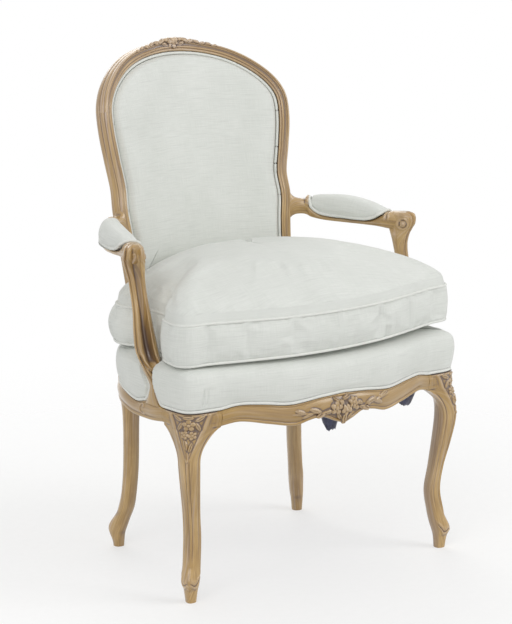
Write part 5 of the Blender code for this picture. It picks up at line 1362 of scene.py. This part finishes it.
def build_seat_welts():
    line = inset(plan(1400), 1.25 * WELT)
    line[:, 2] = crest_at(line) + WELT + CLEAR
    foot = CONSOLE_FORM[0][1][2] + WELT
    right = line[line[:, 0] >= 0]
    ahead = right[right[:, 1] < CONSOLE_Y - foot]
    ahead = ahead[np.argsort(np.arctan2(ahead[:, 1] - 0.1, ahead[:, 0]))]
    front = np.concatenate([ahead, console_riser(-1)])
    whole = np.concatenate([front[::-1] * (-1, 1, 1), front[1:]])
    welt("seat_welt_front", softened(along(whole, 620)), WELT, False)
    within = (right[:, 1] > CONSOLE_Y + foot) & (right[:, 1] < POST_FACE - 2 * WELT)
    beside = right[within & (right[:, 0] > POST_X)]
    beside = beside[np.argsort(beside[:, 1])]
    path = softened(along(np.concatenate([console_riser(1)[::-1], beside]), 220))
    for name, side in SIDES:
        welt(f"seat_welt_{name}", path, WELT, False, side=side)
    end = POST_X - POST_HALF - WELT
    welt("seat_welt_rear", xyz(np.linspace(-end, end, 80), SEAT_REAR - WELT, LEDGE + WELT), WELT, False)


# Cushion

LOWER, UPPER = SEAT_CROWN, SEAT_CROWN + CUSHION_BOX
# How far the slack sides are drawn in at the seams
UPPER_PULL = 0.012
LOWER_PULL = 0.008
SLACK_FROM = (0.20, -0.075)
SLACK_FADE = 0.06
# Lift of the seams in front, in the middle and towards the right corner
UPPER_LIFT = (0.006, 0.004)
LOWER_LIFT = (0.004, 0.008)
# Plan: shares of the half width, then of the bow in front and of the depth behind
CUSHION_FRONT = ((0, 0.25), (0.323, 0.43), (0.61, 0.91), (0.80, 1.28), (0.93, 1.42), (0.975, 1.80))
CUSHION_REAR = (
    (0.95, 0.635), (0.966, 0.705), (0.915, 0.79), (0.80, 0.847), (0.645, 0.891), (0.45, 0.942),
    (0.26, 0.975), (0, 0.985),
)
NOTCH_X = CONSOLE_X - 0.0201 - CUSHION_NOTCH
# Height of the crown by shares of the way from its peak to its edge
CUSHION_TOP = ((0, 1), (0.28, 0.98), (0.55, 0.88), (0.78, 0.67), (0.92, 0.42), (0.985, 0.20), (1, 0.07))
# Upright creases in the front of the boxing: place, slant and depth in millimetres
CREASES = (
    (0.092, 0.16, 2.6), (0.112, -0.10, 3.4), (0.138, 0.12, 2.8), (0.030, -0.10, 1.4), (-0.075, 0.10, 1.2),
)
CUSHION_CLOTH = {
    "quality": 6, "mass": 0.25, "tension_stiffness": 14, "compression_stiffness": 14,
    "bending_stiffness": 0.6, "use_pressure": True, "uniform_pressure_force": 4.5, "shrink_min": -0.03,
}
SWELL_STEPS = 20
SWELL_MOST = 0.006


def cushion_outline(count):
    half = [(share * SEAT_HALF, SEAT_FRONT + bow * SEAT_BOW, 0) for share, bow in CUSHION_FRONT]
    half += [(SEAT_HALF * 0.968, CONSOLE_Y - CUSHION_EAR, 0), (SEAT_HALF * 0.945, CONSOLE_Y - 0.012, 0)]
    half += [(NOTCH_X, CONSOLE_Y + 0.004, 0), (NOTCH_X, CONSOLE_Y + 0.070, 0)]
    half += [(share * SEAT_HALF, SEAT_FRONT + deep * SEAT_DEPTH, 0) for share, deep in CUSHION_REAR]
    return curve_through(mirrored(half), count, closed=True)


def settled(points):
    """Points of the cushion, which stands higher in front and droops towards its left corner."""
    made = points.copy()
    front = step_up((0.08 - points[..., 1]) / 0.3)
    lean = np.clip(points[..., 0] / SEAT_HALF, -1, 1)
    rise = np.clip((points[..., 2] - LOWER) / CUSHION_BOX, 0, 1)
    lower, upper = (middle + corner * lean for middle, corner in (LOWER_LIFT, UPPER_LIFT))
    made[..., 2] += front * (lower * (1 - rise) + upper * rise)
    return made


def slack_side(outline):
    """Where the cushion's sides bulge behind the arm supports, from 0 to 1."""
    x, y = outline[:, :1], outline[:, 1:2]
    return step_up((np.abs(x) - SLACK_FROM[0]) / SLACK_FADE) * step_up((y - SLACK_FROM[1]) / SLACK_FADE)


def boxing_creases(outline, t):
    """Setback of the creases at a share of the boxing's height, deepest towards the lower seam."""
    made = 0 * outline[:, 0]
    for x, slant, depth in CREASES:
        at = outline[:, 0] - x - slant * (t - 0.5) * CUSHION_BOX
        made += depth * MM * (ridge(at, 2.2 * MM) - 0.6 * ridge(at - 5 * MM, 3 * MM))
    return (made * (outline[:, 1] < -0.12) * math.sin(math.pi * t) ** 0.6 * (1.15 - 0.5 * t))[:, None]


def cushion_grid(outline, drawn, creased=0):
    """Rings of the cushion from its underside over the boxing to its crown."""
    peak = np.array([0, CUSHION_PEAK_Y, 0])
    middle = outline.mean(axis=0)
    slack = slack_side(outline)
    floor = inset(outline, CUSHION_WELT + LOWER_PULL * slack)
    edge = inset(outline, CUSHION_WELT + UPPER_PULL * slack)
    soft = eased(edge)
    rings = []
    for share in np.linspace(0.02, 0.99, 22):
        rings.append(at_height(middle + (floor - middle) * share, LOWER - 0.002 * share + drawn))
    under = len(rings)
    for t in np.linspace(0, 1, 26):
        back = 1.2 * CUSHION_WELT * (1 - math.sin(math.pi * t) ** 0.25) - 0.002 * math.sin(math.pi * t)
        back = back + drawn + slack * (UPPER_PULL * t**3 + LOWER_PULL * (1 - t) ** 3)
        back = back + creased * boxing_creases(outline, t)
        rings.append(at_height(inset(outline, back), LOWER + drawn + t * (CUSHION_BOX - 2 * drawn)))
    boxed = len(rings)
    for share in np.concatenate([np.linspace(0.985, 0.9, 12), np.linspace(0.88, 0.004, 44)]):
        rise = smooth(CUSHION_TOP, share) * CUSHION_CROWN
        rings.append(at_height(panel_ring(edge, soft, peak, share), UPPER + rise - drawn))
    grid = np.stack(rings)
    run = lengths(np.concatenate([outline, outline[:1]]))[:-1]
    sewn = grid * (1, 1, 0)
    sewn[under:boxed] = xyz(run, grid[under:boxed, :, 2], 0)
    return settled(grid), sewn, (under, boxed)


def points_of(mesh):
    return np.array([v.co for v in mesh.vertices])


def moved_to(piece, points):
    piece.data.vertices.foreach_set("co", points.astype(np.float32).ravel())
    piece.data.update()


def inflated(piece, held):
    """Lets a sewn cover swell and wrinkle as cloth, held at the given points."""
    rest = points_of(piece.data)
    group = piece.vertex_groups.new(name="held")
    group.add(held.tolist(), 1.0, "REPLACE")
    modifier = piece.modifiers.new("swell", "CLOTH")
    modifier.settings.vertex_group_mass = "held"
    for key, value in CUSHION_CLOTH.items():
        setattr(modifier.settings, key, value)
    modifier.settings.effector_weights.gravity = 0
    modifier.point_cache.frame_end = SWELL_STEPS
    for step in range(1, SWELL_STEPS + 1):
        bpy.context.scene.frame_set(step)
    swollen = piece.evaluated_get(bpy.context.evaluated_depsgraph_get())
    shift = points_of(swollen.to_mesh()) - rest
    swollen.to_mesh_clear()
    piece.modifiers.remove(modifier)
    piece.vertex_groups.remove(group)
    bpy.context.scene.frame_set(1)
    far = np.linalg.norm(shift, axis=1)
    shift *= (np.tanh(far / SWELL_MOST) * SWELL_MOST / np.maximum(far, 1e-9))[:, None]
    moved_to(piece, rest + shift)


def build_cushion():
    outline = cushion_outline(300)
    grid, sewn, (under, boxed) = cushion_grid(outline, 0)
    cover = cloth("cushion_cover", grid, sewn, body="cushion")
    index = np.arange(grid[..., 0].size).reshape(grid.shape[:2])
    inflated(cover, np.concatenate([index[: under + 1], index[boxed - 1 : boxed + 1]]).ravel())
    creases = cushion_grid(outline, 0, 1)[0] - grid
    moved_to(cover, points_of(cover.data) + creases.reshape(-1, 3))
    grid, sewn, _ = cushion_grid(cushion_outline(120), PADDED_INSET)
    cloth("cushion_core", grid, sewn, HAIR, body="cushion")
    outline = cushion_outline(640)
    for name, z, pull in (("lower", LOWER, LOWER_PULL), ("upper", UPPER, UPPER_PULL)):
        path = inset(outline, 0.0017 + pull * slack_side(outline))
        welt(f"cushion_welt_{name}", settled(at_height(path, z)), CUSHION_WELT, True, body="cushion")


# Dust cover

DUST_FALL = ((0, 0.85), (0.4, 0.9), (0.7, 1.0), (0.85, 0.9), (0.93, 0.7), (0.97, 0.4), (1, 0))


def build_dust_cover():
    """A thin cloth tacked inside the rails; it sags, and bags in two places."""
    outline = inset(plan(300), RAIL_THICK + 0.006)
    middle = outline.mean(axis=0)
    shares = np.linspace(1.0, 0.01, 70)
    flat = middle + (outline - middle) * shares[:, None, None]
    x, y = flat[..., 0], flat[..., 1]
    sag = smooth(DUST_FALL, shares)[:, None]
    crinkle = np.sin(x * 95 + 3 * np.sin(y * 60)) * np.sin(y * 83)
    folds = np.sin(x * 520 + 2 * np.sin(y * 300)) * np.sin(y * 430 + 1.0)
    fall = DUST_SAG * sag * (1 + 0.25 * crinkle)
    for place, reach, depth in DUST_BAGS:
        bag = np.minimum(1.3 * bump(np.hypot(x - place[0], y - place[1]), reach), 1)
        fall = fall + depth * bag * np.minimum(sag / 0.3, 1) * (1 + 0.12 * crinkle + 0.16 * folds)
    upper = xyz(x, y, DUST_RIM + DUST_THICK - fall)
    grid = np.concatenate([upper[::-1], upper - (0, 0, DUST_THICK)])
    piece = cloth("dust_cover", grid, np.concatenate([flat[::-1], flat]), NAVY)


# Carried-over pieces

HIDDEN = (
    ("corner_block", PINE), ("block_screw", STEEL), ("webbing", JUTE), ("seat_hessian", JUTE),
    ("back_hessian", JUTE), ("cushion_zip", ZINC),
)


def dress_hidden():
    for name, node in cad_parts.items():
        for start, finish in HIDDEN:
            if name.startswith(start):
                node.data.materials.clear()
                node.data.materials.append(finish)


# Stage

FLOOR_HALF = 8
FLOOR_FADE = (0.55, 1.6)  # from the chair's middle
SKY_LIGHT = 0.60  # strength of the white surroundings as light; they are seen at 1
# Lamps: name, place, size and power
LAMPS = (
    ("key", (2.6, -3.0, 2.8), 2.4, 70),
    ("fill", (-2.8, -2.0, 2.6), 2.6, 46),
    ("rim", (1.0, 2.8, 2.8), 2.4, 35),
)


def linked(name, data, at=(0, 0, 0)):
    made = bpy.data.objects.new(name, data)
    made.location = at
    bpy.context.scene.collection.objects.link(made)
    return made


def aimed(piece, at):
    """Turns a lamp or a camera that stands at a place to the chair."""
    piece.rotation_euler = (TARGET - Vector(at)).to_track_quat("-Z", "Y").to_euler()


def looked_at(n):
    """1 for what is looked at, also in a gloss or through glass, and 0 for what gives light."""
    path = n.add("LightPath").outputs
    direct = n.maths("MAXIMUM", path["Is Camera Ray"], path["Is Glossy Ray"])
    return n.maths("MAXIMUM", direct, path["Is Transmission Ray"])


def pale_floor():
    """A pale floor that fades into the white backdrop away from the chair."""
    n = material("pale_floor")
    place = n.place()
    speckle = n.noise(place, (60, 60, 60), 2.0)
    colour = n.ramp(speckle, ((0.3, (0.90, 0.90, 0.89)), (0.7, (0.92, 0.92, 0.91))))
    n.finish(Base_Color=colour, Roughness=0.9)
    painted = n.tree.nodes["Principled BSDF"].outputs[0]
    white = n.add("Emission", {"Color": (1, 1, 1, 1), "Strength": 1.0}).outputs[0]
    lit = n.add("MixShader", {0: n.maths("MULTIPLY", looked_at(n), 0.5), 1: painted, 2: white}).outputs[0]
    clear = n.add("BsdfTransparent").outputs[0]
    fade = n.ranged(n.vector("LENGTH", place, output="Value"), *FLOOR_FADE)
    faded = n.add("MixShader", {0: fade, 1: lit, 2: clear}).outputs[0]
    n.put(n.tree.nodes["Material Output"].inputs["Surface"], faded)
    return n.owner


def build_stage():
    scene = bpy.context.scene
    scene.view_settings.view_transform = "Standard"
    mesh = bpy.data.meshes.new("floor")
    corners = [(FLOOR_HALF * a, FLOOR_HALF * b, 0) for a, b in ((-1, -1), (1, -1), (1, 1), (-1, 1))]
    mesh.from_pydata(corners, [], [(0, 1, 2, 3)])
    mesh.materials.append(pale_floor())
    linked("floor", mesh)
    n = Nodes(bpy.data.worlds.new("studio"))
    scene.world = n.owner
    background = n.tree.nodes["Background"]
    n.put(background.inputs["Color"], (1, 1, 1, 1))
    n.put(background.inputs["Strength"], n.ranged(looked_at(n), 0.0, 1.0, SKY_LIGHT, 1.0))
    for name, at, size, power in LAMPS:
        lamp = bpy.data.lights.new(name, "AREA")
        lamp.energy = power
        lamp.size = size
        aimed(linked(name, lamp, at), at)


def build_camera():
    lens = bpy.data.cameras.new("camera")
    lens.lens = LENS
    lens.sensor_width = 36
    lens.shift_x, lens.shift_y = LENS_SHIFT
    camera = linked("camera", lens, EYE + Vector((0, SHIFT, 0)))
    aimed(camera, EYE)
    bpy.context.scene.camera = camera


build_camera()
build_stage()
arm_line = arm_path()
build_back_frame()
build_front_rail()
build_side_rails()
build_rear_rail()
build_front_legs()
build_arm_supports()
build_arms(arm_line)
build_back()
build_arm_pads(arm_line)
build_seat()
build_seat_welts()
build_cushion()
build_dust_cover()
dress_hidden()
